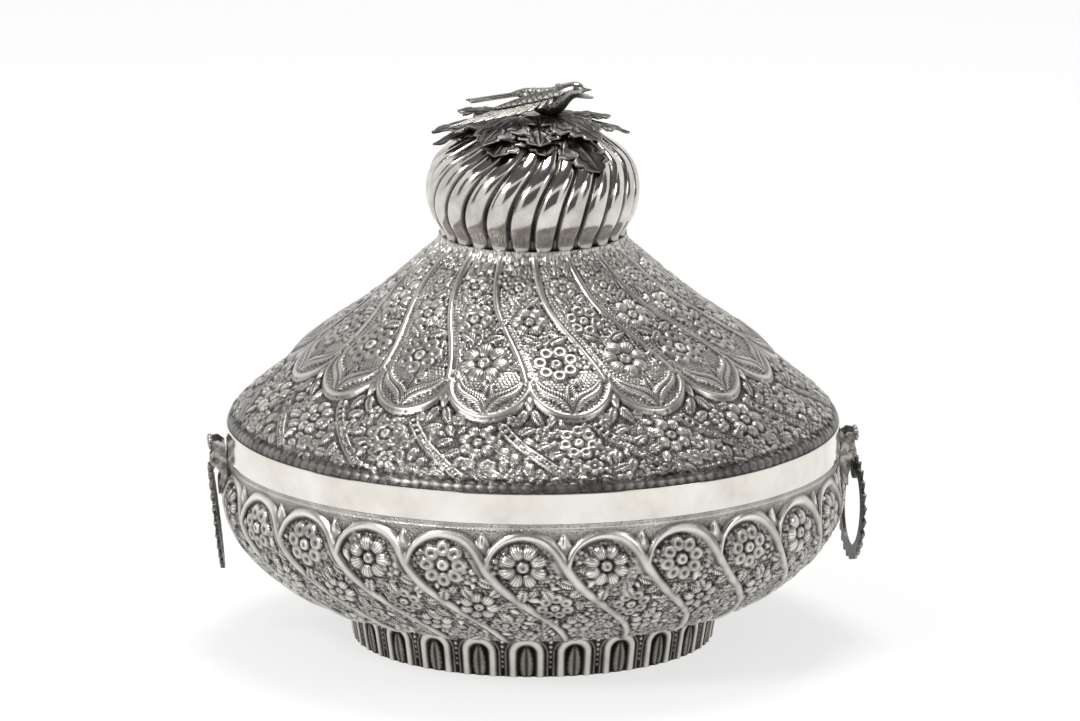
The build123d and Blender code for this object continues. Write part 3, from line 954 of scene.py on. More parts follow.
@dataclass
class TurnedRing:
    """A plain turned ring or disc with softened corners.

    Attributes:
        name: The piece's name.
        section: Radius and height of its section's corners in mm.
        steps: Steps of the full turn.
        soft: Width of the softened corners in mm.
    """

    name: str
    section: tuple[Spot, ...]
    steps: int = 360
    soft: float = 0.15

    def build(self, body: Body, slot: Slot, finish: Material,
              stands_for: Sequence[str] = ()) -> Object:
        """Spin the section.

        Args:
            body: The body that it moves with.
            slot: The record's slot.
            finish: The material.
            stands_for: CAD nodes that it stands for.

        Returns:
            The new piece.
        """
        bm = bmesh.new()
        spin_section(bm, self.section, self.steps)
        bmesh.ops.recalc_face_normals(bm, faces=bm.faces)
        soften_corners(bm, self.soft)
        for edge in bm.edges:
            if len(edge.link_faces) == 2 and edge.calc_face_angle() > math.radians(30):
                edge.smooth = False
        piece = settle(bm, self.name, body, slot, finish, stands_for)
        piece.data.attributes.remove(piece.data.attributes["row"])
        return piece


@dataclass
class ChasedLid:
    """The lid's domed cone, chased with swirling lobes of flowers.

    Attributes:
        finish: Its chased silver.
        columns: Columns of relief round the axis.
        pitch: Distance between rows in mm.
        lobes: Number of swirling lobes.
        depth: Greatest depth of the relief in mm.
        lobe_level: Height of the ground inside a lobe.
        path: The lid's outer line.
        swirl: Bearing of a lobe's right ridge by the distance down.
        tongue_start: How far down the lobes' tongues leave their ridges.
        tongue_tip: How far down the tongues reach.
        scallop_row: How far down the scallops over the band lie.
        scallops: Number of scallops to a lobe.
        zones: Name of each piece and the share of the wall above its end.
        garland: The flowers of a lobe from below, each with the leaves above it. A
            flower has its distance down, radius, unevenness, petals and rise, a leaf
            its distance down and aside, length, width, turn, rise, curl and shine.
        chances: Source of the random choice between two kinds of flower.
    """

    finish: Material
    columns: int = 1224
    pitch: float = 0.6
    lobes: int = 17
    depth: float = 2.6
    lobe_level: float = 0.9
    path: WallPath = WallPath(
        ((46.3, 199.1), (52.1, 192.9), (69.6, 177.3), (92.4, 159.6), (114.4, 143.6),
         (125.6, 132.6), (144.2, 117.2), (150.0, 107.1)), (0.5, -1.0), (0.0, -1.0), 2.0)
    swirl: tuple[Spot, ...] = (
        (0.0, 0.0), (12.2, 2.6), (24.4, 3.6), (36.6, 8.0), (48.8, 13.0), (61.0, 17.0),
        (73.2, 19.0), (85.4, 20.2), (92.0, 20.4))
    tongue_start: float = 78.0
    tongue_tip: float = 98.0
    scallop_row: float = 139.1
    scallops: int = 10
    zones: tuple[tuple[str, float], ...] = (
        ("lid_neck_lobes", 0.27), ("lid_middle_lobes", 0.5), ("lid_lower_lobes", 0.72), ("lid_skirt", 1.0))
    garland: tuple[tuple[tuple[float, ...], tuple[tuple[float, ...], ...]], ...] = (
        ((65.5, 12.6, 0.05, 7, 1.7), ((52.5, -2.5, 10.0, 6.4, -52, 1.6, -1.5, 0.06),
                                      (52.5, 3.0, 10.0, 6.4, 60, 1.6, 1.5, 0.06))),
        ((39.5, 9.4, 0.06, 6, 1.65), ((30.0, -1.5, 8.8, 5.4, -44, 1.5, 0.0, 0.05),
                                      (30.0, 1.5, 8.8, 5.4, 52, 1.5, 0.0, 0.05))),
        ((20.0, 7.4, 0.06, 6, 1.6), ((12.6, 0.0, 7.0, 4.6, 5, 1.4, 0.0, 0.06),)),
        ((4.6, 5.2, 0.06, 5, 1.5), ()))
    chances: np.random.Generator = field(default_factory=lambda: np.random.default_rng(3))

    def ridge_angle(self, down: ndarray | float) -> ndarray | float:
        """Return the bearing of the first ridge at a distance down the lid."""
        near = [np.interp(np.asarray(down) + step, *np.array(self.swirl).T) for step in range(-9, 10, 3)]
        return sum(near) / len(near)

    def tongue_edge(self, share: ndarray | float) -> ndarray | float:
        """Return how far down a tongue's edge lies at a share of its width."""
        return self.tongue_start + (self.tongue_tip - self.tongue_start) * np.sin(math.pi * share) ** 0.5

    def build(self) -> list[Object]:
        """Chase the relief and build the lid's zones.

        Returns:
            The pieces.
        """
        stations, points, normals = self.path.rows(self.pitch)
        relief = Relief(self.columns, stations, points[:, 0], 11)
        inside = self._lay_ground(relief)
        for lobe in range(self.lobes):
            self._chase_lobe(relief, lobe * 360 / self.lobes)
            self._chase_skirt(relief, lobe * 360 / self.lobes)
        relief.fill(0.5, 80.0, 6.2, self.lobe_level, 20.0, inside)
        relief.fill(88.0, 136.0, 6.8, 0.0, 150.0, ~inside)
        relief.pearl(1.0, 80.0, self.lobe_level, inside)
        relief.soften()
        total = stations[-1]
        # the relief is shallower where the wall meets the neck and the band
        depth = np.interp(stations, [0, 6, total - 9, total - 2, total],
                          [1.5, self.depth, self.depth, 1.3, 0.9])
        relief.height *= (depth / self.depth)[:, None]
        relief.height = np.minimum(relief.height, depth[:, None] - CLEARANCE)
        # the neck is rubbed most, as the lid is lifted there
        polish = relief.polish(2, 1.7, 0.48) + np.interp(stations, [0, 50], [0.2, 0.0])[:, None]
        # the skirt is rubbed more evenly than the lobes
        middle = 0.56
        polish = middle + (polish - middle) * np.interp(stations, [98, 106], [1.0, 0.78])[:, None]
        # the scallops over the band stay dark
        polish -= np.interp(stations, [total - 8.5, total - 7.0], [0.0, 0.22])[:, None]
        # the sheet thins out where it is soldered into the band
        back = np.full(len(stations), 0.9)
        back[-10:] = np.linspace(0.9, 0.15, 10)
        wall = ChasedWall(relief, points, normals, depth, back, polish, self.finish)
        return wall.build(self.zones, Body.LID, Slot.CHASED, "lid_shell")

    def _lay_ground(self, relief: Relief) -> ndarray:
        """Raise the ground inside the lobes and edge their tongues.

        Args:
            relief: The lid's relief.

        Returns:
            Mask of the cells inside the lobes.
        """
        span = 360 / self.lobes
        down = relief.stations[:, None]
        end = self.swirl[-1][1]
        place = ((relief.angles[None, :] - end) % span) / span
        inside = np.broadcast_to(down < self.tongue_edge(place), relief.height.shape)
        relief.height = np.where(inside, self.lobe_level, 0.0)
        return inside

    def _chase_lobe(self, relief: Relief, turn: float) -> None:
        """Chase one lobe: its ridge, tongue, leaves and flowers.

        Args:
            relief: The lid's relief.
            turn: Bearing that the lobe's ridge starts at.
        """
        span = 360 / self.lobes
        level = self.lobe_level
        ridge = [(turn + float(self.ridge_angle(down)), float(down))
                 for down in np.linspace(0, self.tongue_start, 46)]
        relief.ridge(ridge, 3.7, level, 1.3, shine=0.02, sink=0.5)
        # close rows of small pearls lie along the ridge's right side
        for gap, first in ((2.8, 12), (4.4, 20)):
            relief.beads([relief.beside(at, gap) for at in ridge[first:]], 1.7, 0.85, level, 0.8)
        tip = turn + self.swirl[-1][1] - span / 2
        # the steps are finest where the edge leaves the ridges
        shares = (1 - np.cos(np.linspace(0, math.pi, 41))) / 2
        edge = [(tip + span * (share - 0.5), float(self.tongue_edge(share))) for share in shares]
        relief.ridge(edge, 3.4, level, 0.9, shine=0.06)
        relief.ridge([(a, s + 2.6) for a, s in edge], 1.6, 0.0, 1.0, shine=0.1)

        def spot(down: float, aside: float = 0.0) -> Spot:
            """Return a place aside of the lobe's middle line, in mm."""
            middle = (turn + float(self.ridge_angle(down)) - span / 2, down)
            return relief.beside(middle, aside)[0] + relief.shift(0.25), down + relief.shift(0.5)

        # granulation fills the tongue outside its two leaves
        self._granulate(relief, turn)
        foot = spot(96.5)
        for way in (-1, 1):
            relief.leaf((foot[0] + way * 0.15, foot[1]), relief.vary(27, 0.04), 8.4, way * 39, level,
                        1.7, shine=0.08, sway=way * -1.8)
        relief.leaf((foot[0], foot[1] - 5.0), 13.5, 9.0, 0, level, 1.1)
        # plain and ringed flowers take turns
        ringed = self.chances.random() < 0.5
        for (down, radius, uneven, petals, rise), leaves in self.garland:
            relief.flower(spot(down), relief.vary(radius, uneven), petals, level, rise, ringed)
            for down, aside, length, width, lean, rise, curl, shine in leaves:
                relief.leaf(spot(down, aside), length, width, lean, level, rise, curl, shine)
            ringed = not ringed

    def _granulate(self, relief: Relief, turn: float) -> None:
        """Punch close rows of pearls into the lower end of a lobe.

        Args:
            relief: The lid's relief.
            turn: Bearing that the lobe's ridge starts at.
        """
        span = 360 / self.lobes
        tip = turn + self.swirl[-1][1] - span / 2
        for row, down in enumerate(np.arange(self.tongue_start - 6.0, self.tongue_tip, 1.75)):
            share = max(0.0, (down - self.tongue_start) / (self.tongue_tip - self.tongue_start)) ** 2
            reach = span * (0.5 - math.asin(share) / math.pi)
            step = math.degrees(1.95 / relief.radius_at(down))
            for k in range(-int(reach / step), int(reach / step) + 1):
                place = (tip + (k + 0.5 * (row % 2)) * step, float(down))
                if abs(k) * step > 1.2:
                    relief.bead(place, 0.98, self.lobe_level - 0.25, 1.0)

    def _chase_skirt(self, relief: Relief, turn: float) -> None:
        """Chase one share of the skirt between the tongues and the band.

        Args:
            relief: The lid's relief.
            turn: Bearing that the lobe's ridge starts at.
        """
        span = 360 / self.lobes
        junction = turn + self.swirl[-1][1]
        tip = junction - span / 2
        ringed = self.chances.random() < 0.4
        relief.flower((tip + relief.shift(0.4), 113.0), relief.vary(10.6, 0.05), 7, 0.0, 2.2, ringed)
        relief.bud((junction, 90.5), 9.0, 5.0, 180, 0.0, 1.7)
        for aside, angle in ((-2.2, -28), (2.2, 28)):
            relief.leaf((junction + aside * 0.3, 94.0), 11.0, 5.6, 180 - angle, 0.0, 1.8)
        rib = [(tip + 4.5 + 14.0 * t ** 1.15, 103.0 + 31.0 * t) for t in np.linspace(0, 1, 12)]
        mean_radius = 130
        for step in (-1.7, 1.7):
            beside = [(a + math.degrees(step / mean_radius), s - step * 0.45) for a, s in rib]
            relief.ridge(beside, 1.2, 0.9, 0.75, shine=-0.22)
        relief.beads(rib, 2.6, 0.95, 0.9, 0.85)
        for angle, down in (rib[2], rib[5], rib[7]):
            for way, lean in ((1, 62), (-1, 205)):
                relief.leaf((angle + way * 2.0, down - way * 1.5), 9.0, 5.6, lean + relief.shift(12), 0.0,
                            1.8, curl=way * 1.0, shine=0.04)
        relief.flower((tip + 2.4, 127.5), relief.vary(5.2), 6, 0.0, 1.8, not ringed)
        relief.bud((tip - 3.6, 125.5), 8.0, 4.4, 200, 0.0, 1.7)
        # a row of flat scallops finishes the skirt
        for k in range(self.scallops):
            relief.bead((turn + span * (k + 0.5) / self.scallops, self.scallop_row), 2.9, 0.1, 0.8)


@dataclass
class ChasedBowl:
    """The round bowl, chased with leaning arches of flowers.

    Attributes:
        finish: Its chased silver.
        columns: Columns of relief round the axis.
        pitch: Distance between rows in mm.
        panels: Number of arches.
        depth: Greatest depth of the relief in mm.
        path: The bowl's outer line.
        arch: Bearing and distance down of the arch's ridge, from its left foot.
        zones: Name of each piece and the share of the wall above its end.
        sole_radius: Radius of the sole.
        sole_height: Height of the sole's underside.
        sole_thickness: Its thickness.
    """

    finish: Material
    columns: int = 1368
    pitch: float = 0.6
    panels: int = 24
    depth: float = 2.4
    path: WallPath = WallPath(
        ((150.2, 87.7), (152.7, 73.2), (144.5, 49.1), (128.0, 33.2), (110.0, 22.6), (91.7, 20.0)),
        (0.0, -1.0), (-1.0, 0.0), 4.0)
    arch: tuple[Spot, ...] = (
        (-8.6, 22.0), (-8.2, 16.5), (-7.3, 12.0), (-5.2, 7.6), (-2.0, 5.6), (1.4, 7.0), (3.6, 10.6),
        (5.0, 15.2), (6.5, 24.4), (9.0, 34.1), (13.0, 43.9), (16.5, 53.7), (19.0, 61.0),
        (21.4, 72.0), (23.0, 84.0), (24.0, 97.0))
    zones: tuple[tuple[str, float], ...] = (
        ("bowl_arches", 0.33), ("bowl_flanks", 0.665), ("bowl_underside", 1.0))
    sole_radius: float = 92.5
    sole_height: float = 20.1
    sole_thickness: float = 0.9

    def build(self) -> list[Object]:
        """Chase the relief and build the bowl's zones and its sole.

        Returns:
            The pieces.
        """
        stations, points, normals = self.path.rows(self.pitch)
        relief = Relief(self.columns, stations, points[:, 0], 23)
        for panel in range(self.panels):
            self._chase_panel(relief, panel * 360 / self.panels)
        self._fill_panels(relief)
        # plain pads behind the handles' back plates
        for angle in (90.0, 270.0):
            cells, right, down = relief.window((angle + CAMERA_BEARING, 8.0), 12.0)
            pad = (np.abs(right) < 9.0) & (down < 11.0)
            for values, level in ((relief.height, 2.1), (relief.matting, 0.0), (relief.traced, 0.0)):
                values[cells] = np.where(pad, level, values[cells])
        relief.soften()
        total = stations[-1]
        depth = np.interp(stations, [0, 3.2, 6, 10, total - 12, total - 3, total],
                          [0.45, 0.7, 1.7, self.depth, self.depth, 1.0, 0.8])
        relief.height *= (depth / self.depth)[:, None]
        relief.height = np.minimum(relief.height, depth[:, None] - CLEARANCE)
        # the plain border is worn lighter than the ground in the arches
        polish = relief.polish(2, 1.7, 0.5) + np.interp(stations, [5, 14], [0.14, 0.0])[:, None]
        back = np.interp(stations, [0, 5.5, 8.5, total], [0.5, 0.4, 0.8, 0.8])
        wall = ChasedWall(relief, points, normals, depth, back, polish, self.finish)
        pieces = wall.build(self.zones, Body.BOWL, Slot.CHASED, "bowl_shell")
        return [*pieces, self._build_sole()]

    def _fill_panels(self, relief: Relief) -> None:
        """Fill the arches with small leaves, and leave the border above them bare.

        Args:
            relief: The bowl's relief.
        """
        span = 360 / self.panels
        top = np.interp(relief.angles % span, (0.0, 1.4, 3.6, 5.6, 7.8, 9.8, 13.0, 15.0),
                        (7.5, 9.0, 13.0, 21.0, 14.0, 9.5, 7.0, 7.5))
        inside = relief.stations[:, None] > top[None, :] + 2.5
        relief.fill(9.0, 108.0, 6.2, 0.0, 160.0, inside)
        relief.pearl(8.0, 100.0, 0.0, inside)

    def _build_sole(self) -> Object:
        """Build the flat sole inside the foot.

        Returns:
            The piece.
        """
        bm = bmesh.new()
        bmesh.ops.create_circle(bm, cap_ends=True, segments=360, radius=self.sole_radius * MM)
        bmesh.ops.translate(bm, vec=(0, 0, self.sole_height * MM), verts=bm.verts)
        raised = bmesh.ops.extrude_face_region(bm, geom=list(bm.faces))
        verts = [part for part in raised["geom"] if isinstance(part, BMVert)]
        bmesh.ops.translate(bm, vec=(0, 0, self.sole_thickness * MM), verts=verts)
        bmesh.ops.recalc_face_normals(bm, faces=bm.faces)
        piece = settle(bm, "bowl_sole", Body.BOWL, Slot.CHASED, self.finish, ("bowl_shell",), smooth=False)
        add_attribute(piece.data, "polish", np.full(len(piece.data.vertices), 0.5))
        return piece

    def _chase_panel(self, relief: Relief, turn: float) -> None:
        """Chase one leaning arch with its flowers and leaves.

        Args:
            relief: The bowl's relief.
            turn: Bearing added to the pattern.
        """
        marks = np.array(self.arch)
        share = np.linspace(0, len(marks) - 1, 64)
        count = np.arange(len(marks))
        angles, downs = (smooth_line(np.interp(share, count, marks[:, k]), 4) for k in (0, 1))
        line = [(turn + float(angle), float(down)) for angle, down in zip(angles, downs)]
        # the ridge swells over the arch and tapers to both ends
        for start in range(len(line) - 1):
            wide = float(np.interp(start, (0, 16, 26, 40, 63), (3.4, 4.4, 6.8, 5.4, 3.6)))
            relief.ridge(line[start:start + 2], wide, 0.0, 2.1, shine=0.02)
        for gap in (3.4, 4.7):
            row = [relief.beside(at, -gap) for at in line[18:50]]
            relief.beads([(angle, down + 1.0) for angle, down in row], 1.4, 0.7, 0.0, 0.9)

        def spot(angle: float, down: float) -> Spot:
            """Return a place with the hand's small unevenness."""
            return turn + angle + relief.shift(0.25), down + relief.shift(0.45)

        ringed = relief.chance.random() < 0.5
        petals = 7 + int(relief.chance.random() * 2)
        relief.flower(spot(-1.6, 21.5), relief.vary(12.0, 0.05), petals, 0.0, 2.3, ringed)
        for angle, down, tip in ((-5.4, 33.0, -135), (-1.8, 34.5, -170), (2.2, 34.0, 150), (5.0, 29.0, 115)):
            relief.leaf(spot(angle, down), 9.6, 6.6, tip, 0.0, 2.0, shine=0.08)
        relief.flower(spot(4.4, 46.5), relief.vary(9.6, 0.06), 7, 0.0, 2.2, not ringed)
        for angle, down, tip in ((-0.6, 46.0, -70), (1.0, 52.0, -150), (8.4, 53.0, 130), (9.4, 45.0, 80)):
            relief.leaf(spot(angle, down), 8.4, 5.8, tip, 0.0, 1.9, shine=0.08)
        for angle, down, radius, rise, punched in (
                (9.4, 63.5, 8.2, 2.1, ringed), (3.4, 60.5, 4.6, 1.8, False),
                (13.6, 77.5, 6.0, 1.9, not ringed)):
            relief.flower(spot(angle, down), relief.vary(radius), 6, 0.0, rise, punched)
        for angle, down, length, tip, rise in ((12.0, 68.0, 8.0, 150, 1.7), (15.5, 86.0, 9.0, 180, 1.6)):
            relief.leaf(spot(angle, down), length, 5.0, tip, 0.0, rise)
        # a small bud stands between two arches, in its calyx
        relief.bud(spot(5.5, 10.6), 11.0, 8.6, 0, 0.0, 1.5, 0.08)
        relief.bud((turn + 5.5, 8.6), 6.6, 2.8, 0, 1.2, 1.0, 0.16)
        # a fine ridge runs under the rim, and a row of beads above the foot
        steps = [turn + 15 * k / 3 for k in range(4)]
        relief.ridge([(angle, 2.2) for angle in steps], 1.0, 0.0, 0.4, shine=0.05)
        relief.beads([(angle, 103.0) for angle in steps], 3.2, 1.4, 0.0, 1.1)


@dataclass
class ArchedFoot:
    """The low foot with a ring of small arches, each over a pointed leaf.

    Attributes:
        finish: Its worn silver.
        columns: Columns of relief round the axis.
        pitch: Distance between rows in mm.
        arches: Number of arches.
        depth: Greatest depth of the relief in mm.
        back: Thickness behind the ground.
        path: The foot's outer line.
        offset: Bearing of the first arch from the camera's side.
        springing: How far down the round part of an arch starts.
        bottom: How far down its legs reach.
    """

    finish: Material
    columns: int = 1080
    pitch: float = 0.62
    arches: int = 24
    depth: float = 1.1
    back: float = 0.5
    path: WallPath = WallPath(((91.7, 20.0), (90.0, 10.0), (88.3, 0.0)), (-0.17, -1.0), (-0.17, -1.0))
    offset: float = -2.0
    springing: float = 8.0
    bottom: float = 21.0

    def build(self) -> list[Object]:
        """Chase and build the foot.

        Returns:
            Its one piece.
        """
        stations, points, normals = self.path.rows(self.pitch)
        relief = Relief(self.columns, stations, points[:, 0], 31)
        relief.matting[:] = 0.25
        for arch in range(self.arches):
            self._chase_arch(relief, arch * 360 / self.arches + self.offset)
        relief.soften()
        relief.height = np.minimum(relief.height, self.depth - CLEARANCE)
        depth, back = (np.full(len(stations), value) for value in (self.depth, self.back))
        wall = ChasedWall(relief, points, normals, depth, back, relief.polish(4, 1.1, 0.4), self.finish)
        return wall.build([("foot_arches", 1.0)], Body.BOWL, Slot.FOOT, "foot_ring")

    def _chase_arch(self, relief: Relief, turn: float) -> None:
        """Chase one arch, its leaf and the dots beside it.

        Args:
            relief: The foot's relief.
            turn: Bearing of the arch's middle.
        """
        relief.leaf((turn, 21.5), 18.5, 7.6, 0, 0.0, 1.0, shine=0.02)
        # a broad arch and a fine line round it
        for half, top, width, rise in ((4.3, 1.8, 4.4, 1.05), (6.5, 0.0, 0.9, 0.6)):
            bend = [(turn + half * math.cos(angle), self.springing - (self.springing - top) * math.sin(angle))
                    for angle in np.radians(np.linspace(180, 0, 15))]
            line = [(turn - half, self.bottom), (turn - half, self.springing), *bend,
                    (turn + half, self.bottom)]
            relief.ridge(line, width, 0.0, rise, shine=0.16 * rise)
        for k in range(6):
            relief.bead((turn + 7.5, 2.0 + 2.6 * k), 0.95 - 0.07 * k, 0.0, 1.0)


@dataclass
class GadroonBulb:
    """The bulb under the finial, raised in leaning gadroons.

    Attributes:
        finish: Its buffed silver.
        columns: Columns of relief round the axis.
        pitch: Distance between rows in mm.
        gadroons: Number of gadroons.
        base: Height at which they start.
        tall: How far up they run.
        swirl: How far they turn from end to end, in degrees.
        swirl_power: How much of that turn lies near their tops.
        depth: Depth of the lines between them.
        back: Thickness behind those lines.
        tongue: Length of their rounded lower ends.
        path: The bulb's outer line.
        crown: Radius and height of the flat crown's section.
    """

    finish: Material
    columns: int = 700
    pitch: float = 0.8
    gadroons: int = 25
    base: float = 201.1
    tall: float = 53.1
    swirl: float = 30.0
    swirl_power: float = 2.6
    depth: float = 2.9
    back: float = 0.9
    tongue: float = 4.4
    path: WallPath = WallPath(
        ((22.0, 254.2), (38.0, 246.3), (46.3, 240.1), (52.4, 222.1), (48.8, 208.9), (45.5, 201.4),
         (45.9, 199.2)), (1.0, -0.18), (0.25, -1.0))
    crown: tuple[Spot, ...] = ((2.1, 254.2), (20.4, 254.2), (21.9, 253.9), (21.9, 252.9), (2.1, 252.9))

    def build(self) -> list[Object]:
        """Raise the gadroons and close the crown.

        Returns:
            The pieces.
        """
        stations, points, normals = self.path.rows(self.pitch)
        relief = Relief(self.columns, stations, points[:, 0], 5)
        up = (points[:, 1] - self.base) / self.tall
        turn = self.swirl * np.clip(up, 0, 1) ** self.swirl_power
        # a gadroon starts at the right, as in the solid bulb
        start = 90 + CAMERA_BEARING
        across = (relief.angles[None, :] - start - turn[:, None]) * self.gadroons / 360
        across = (across + 0.5) % 1 * 2 - 1
        left = (stations[-1] - stations)[:, None]
        # each gadroon is a round bar with a rounded lower end
        tongue = np.sqrt(np.clip(1 - ((self.tongue - left) / self.tongue).clip(0, None) ** 2, 0, 1))
        share = np.abs(across) / (0.9 * np.maximum(tongue, 0.001))
        bar = np.sqrt(np.clip(1 - share ** 2.2, 0, 1))
        # they are shallower where they crowd together at the crown
        narrow = np.interp(points[:, 0], [22, 52], [0.45, 1.0])[:, None]
        relief.height = bar * (self.depth - 0.15) * narrow * np.minimum(1, tongue * 1.2)
        relief.matting = np.clip((share - 0.97) * 12, 0, 1)
        depth = self.depth * np.interp(points[:, 0], [22, 52], [0.5, 1.0])
        relief.height = np.minimum(relief.height, depth[:, None] - CLEARANCE)
        polish = np.clip(1.0 - np.clip((share - 0.8) * 4.5, 0, 1), 0.05, 0.85)
        # the ends of the tongues are worn to a soft grey
        polish = np.clip(polish, 0.4 * np.exp(-left / 3.0), 1.0 - 0.35 * np.exp(-(left / 11.0) ** 4))
        back = np.full(len(stations), self.back)
        wall = ChasedWall(relief, points, normals, depth, back, polish, self.finish)
        sides = wall.build([("bulb_gadroons", 1.0)], Body.LID, Slot.POLISHED, "gadroon_bulb")
        crown = TurnedRing("bulb_crown", self.crown, 180, 0.1)
        top = crown.build(Body.LID, Slot.POLISHED, self.finish, ("gadroon_bulb",))
        add_attribute(top.data, "polish", np.full(len(top.data.vertices), 0.55))
        return [*sides, top]


@dataclass
class VineLeaf:
    """One lobed vine leaf, bent over an arc, with its stalk on the boss.

    Attributes:
        name: The piece's and the node's name.
        bearing: Its direction from -Y towards +X.
        reach: Distance of its tip from the axis in mm.
        drop: How far its tip lies below the boss's top.
        width: Its width.
        tier: Its place in the stack, from the bottom.
        bow: How far it arches up, as a share of its run.
        skew: How far its lobes lie towards the tip, 1 for none.
        boss_radius: Radius of the boss that its stalk starts at.
        stalk: Length of the stalk.
        stalk_half: Half the stalk's width.
        thickness: Thickness of the sheet.
        flange: Height of the boss's flange, which the lowest leaf lies on.
        tier_rise: How much higher each tier lies.
        lobes: Half width of the blade along it, both as shares.
        ribs: Where a rib leaves the midrib and where it reaches the edge, as shares.
    """

    name: str
    bearing: float
    reach: float
    drop: float
    width: float
    tier: int
    bow: float
    skew: float = 1.0
    boss_radius: float = 6.0
    stalk: float = 4.0
    stalk_half: float = 1.25
    thickness: float = 0.7
    flange: float = 255.8
    tier_rise: float = 1.15
    lobes: tuple[Spot, ...] = (
        (0.0, 0.14), (0.03, 0.36), (0.08, 0.48), (0.14, 0.5), (0.19, 0.37), (0.22, 0.35), (0.27, 0.53),
        (0.35, 0.59), (0.43, 0.53), (0.49, 0.34), (0.52, 0.32), (0.58, 0.46), (0.66, 0.43), (0.72, 0.27),
        (0.76, 0.25), (0.83, 0.26), (0.9, 0.17), (0.96, 0.08), (1.0, 0.01))
    ribs: tuple[Spot, ...] = ((0.0, 0.16), (0.02, 0.4), (0.3, 0.66), (0.5, 0.85))

    def _outline(self, along: ndarray) -> ndarray:
        """Draw the blade's outline.

        Args:
            along: Places along the blade, as shares of its length.

        Returns:
            Its half width there, as a share of the widest.
        """
        fine = np.linspace(0, 1, 161)
        rounded = smooth_line(np.interp(fine, *np.array(self.lobes).T), 4)
        # the smoothed line still runs out in a point
        rounded[-5:] = np.linspace(rounded[-6], 0.01, 6)[1:]
        toothed = 1.14 + 0.05 * np.sin(along * 58)
        return np.interp(along, fine, rounded) * toothed

    def build(self, finish: Material) -> Object:
        """Bend and vein the leaf.

        Args:
            finish: The oxidised silver.

        Returns:
            The piece.
        """
        bm = bmesh.new()
        bmesh.ops.create_grid(bm, x_segments=96, y_segments=34, size=0.5)
        # the sheet gets its thickness while it is flat, so that its folds stay clean
        bmesh.ops.solidify(bm, geom=list(bm.faces), thickness=self.thickness * MM)
        flat = np.array([vert.co for vert in bm.verts])
        blade = self.reach - (self.boss_radius + self.stalk)
        stalk_share = self.stalk / (self.stalk + blade)
        run = flat[:, 0] + 0.5
        aside = flat[:, 1] * 2
        along = (run - stalk_share) / (1 - stalk_share)
        inner = np.clip(along, 0, 1)
        half = np.where(along < 0, self.stalk_half / self.width, self._outline(inner ** self.skew))
        # lobes point forward: their edges lie further out than their middles
        forward = 0.09 * np.abs(aside) ** 1.4 * np.sin(inner * math.pi)
        out = self.boss_radius - 0.05 + run * (self.reach - self.boss_radius)
        out = out + forward * blade * (along > 0)
        side = aside * half * self.width
        root = self.flange + self.tier * self.tier_rise
        tip = BOSS_TOP - self.drop
        share = np.clip(out / (self.reach + 1), 0, 1)
        arch = 4 * share * (1 - share) * (self.bow * (self.reach - self.boss_radius))
        height = root + (tip - root) * share + arch
        ribs = self._raise_ribs(inner, aside, half)
        # the edges wave up and down, and the lobes bend down a little
        wave = np.sin(inner * 19 + self.bearing) * np.abs(aside) ** 3 * 0.4
        cup = -0.02 * side ** 2 * (inner * (1 - inner) * 2.2)
        lift = np.where(along > 0, ribs * 0.42 + wave + cup, 0.0)
        place = (np.array(bearing(self.bearing))[None, :] * out[:, None]
                 + np.array(bearing(self.bearing + 90))[None, :] * side[:, None])
        place[:, 2] = height - 0.45 + lift - np.abs(flat[:, 2]) / MM
        tone, phase, traced = (bm.verts.layers.float.new(name) for name in ("polish", "phase", "traced"))
        for vert, spot, rib, u, v in zip(bm.verts, place, ribs, inner, aside):
            vert.co = Vector(spot) * MM
            # the ribs and the rim are rubbed
            vert[tone] = 0.42 + 0.38 * rib + 0.3 * abs(v) ** 6
            # fine veins fan out from the stalk
            vert[phase] = math.atan2(v * self.width * 0.5, (u + 0.12) * blade) * 34
            vert[traced] = 1.0 if u > 0.02 else 0.0
        bmesh.ops.recalc_face_normals(bm, faces=bm.faces)
        return settle(bm, self.name + "_veined", Body.LID, Slot.OXIDISED, finish, (self.name,))

    def _raise_ribs(self, along: ndarray, aside: ndarray, half: ndarray) -> ndarray:
        """Return the height of the midrib and the lobes' ribs, 0 to 1.

        Args:
            along: Share along the blade.
            aside: Share across it, -1 to 1.
            half: Half width there, as a share of the full width.

        Returns:
            The ribs' height.
        """
        ribs = np.exp(-(aside * half / 0.035) ** 2) * (1 - along * 0.6)
        for start, end in self.ribs:
            path = np.abs(along - (start + (end - start) * np.abs(aside)))
            ribs = np.maximum(ribs, np.exp(-(path / 0.028) ** 2) * 0.75 * (np.abs(aside) < 0.95))
        return ribs


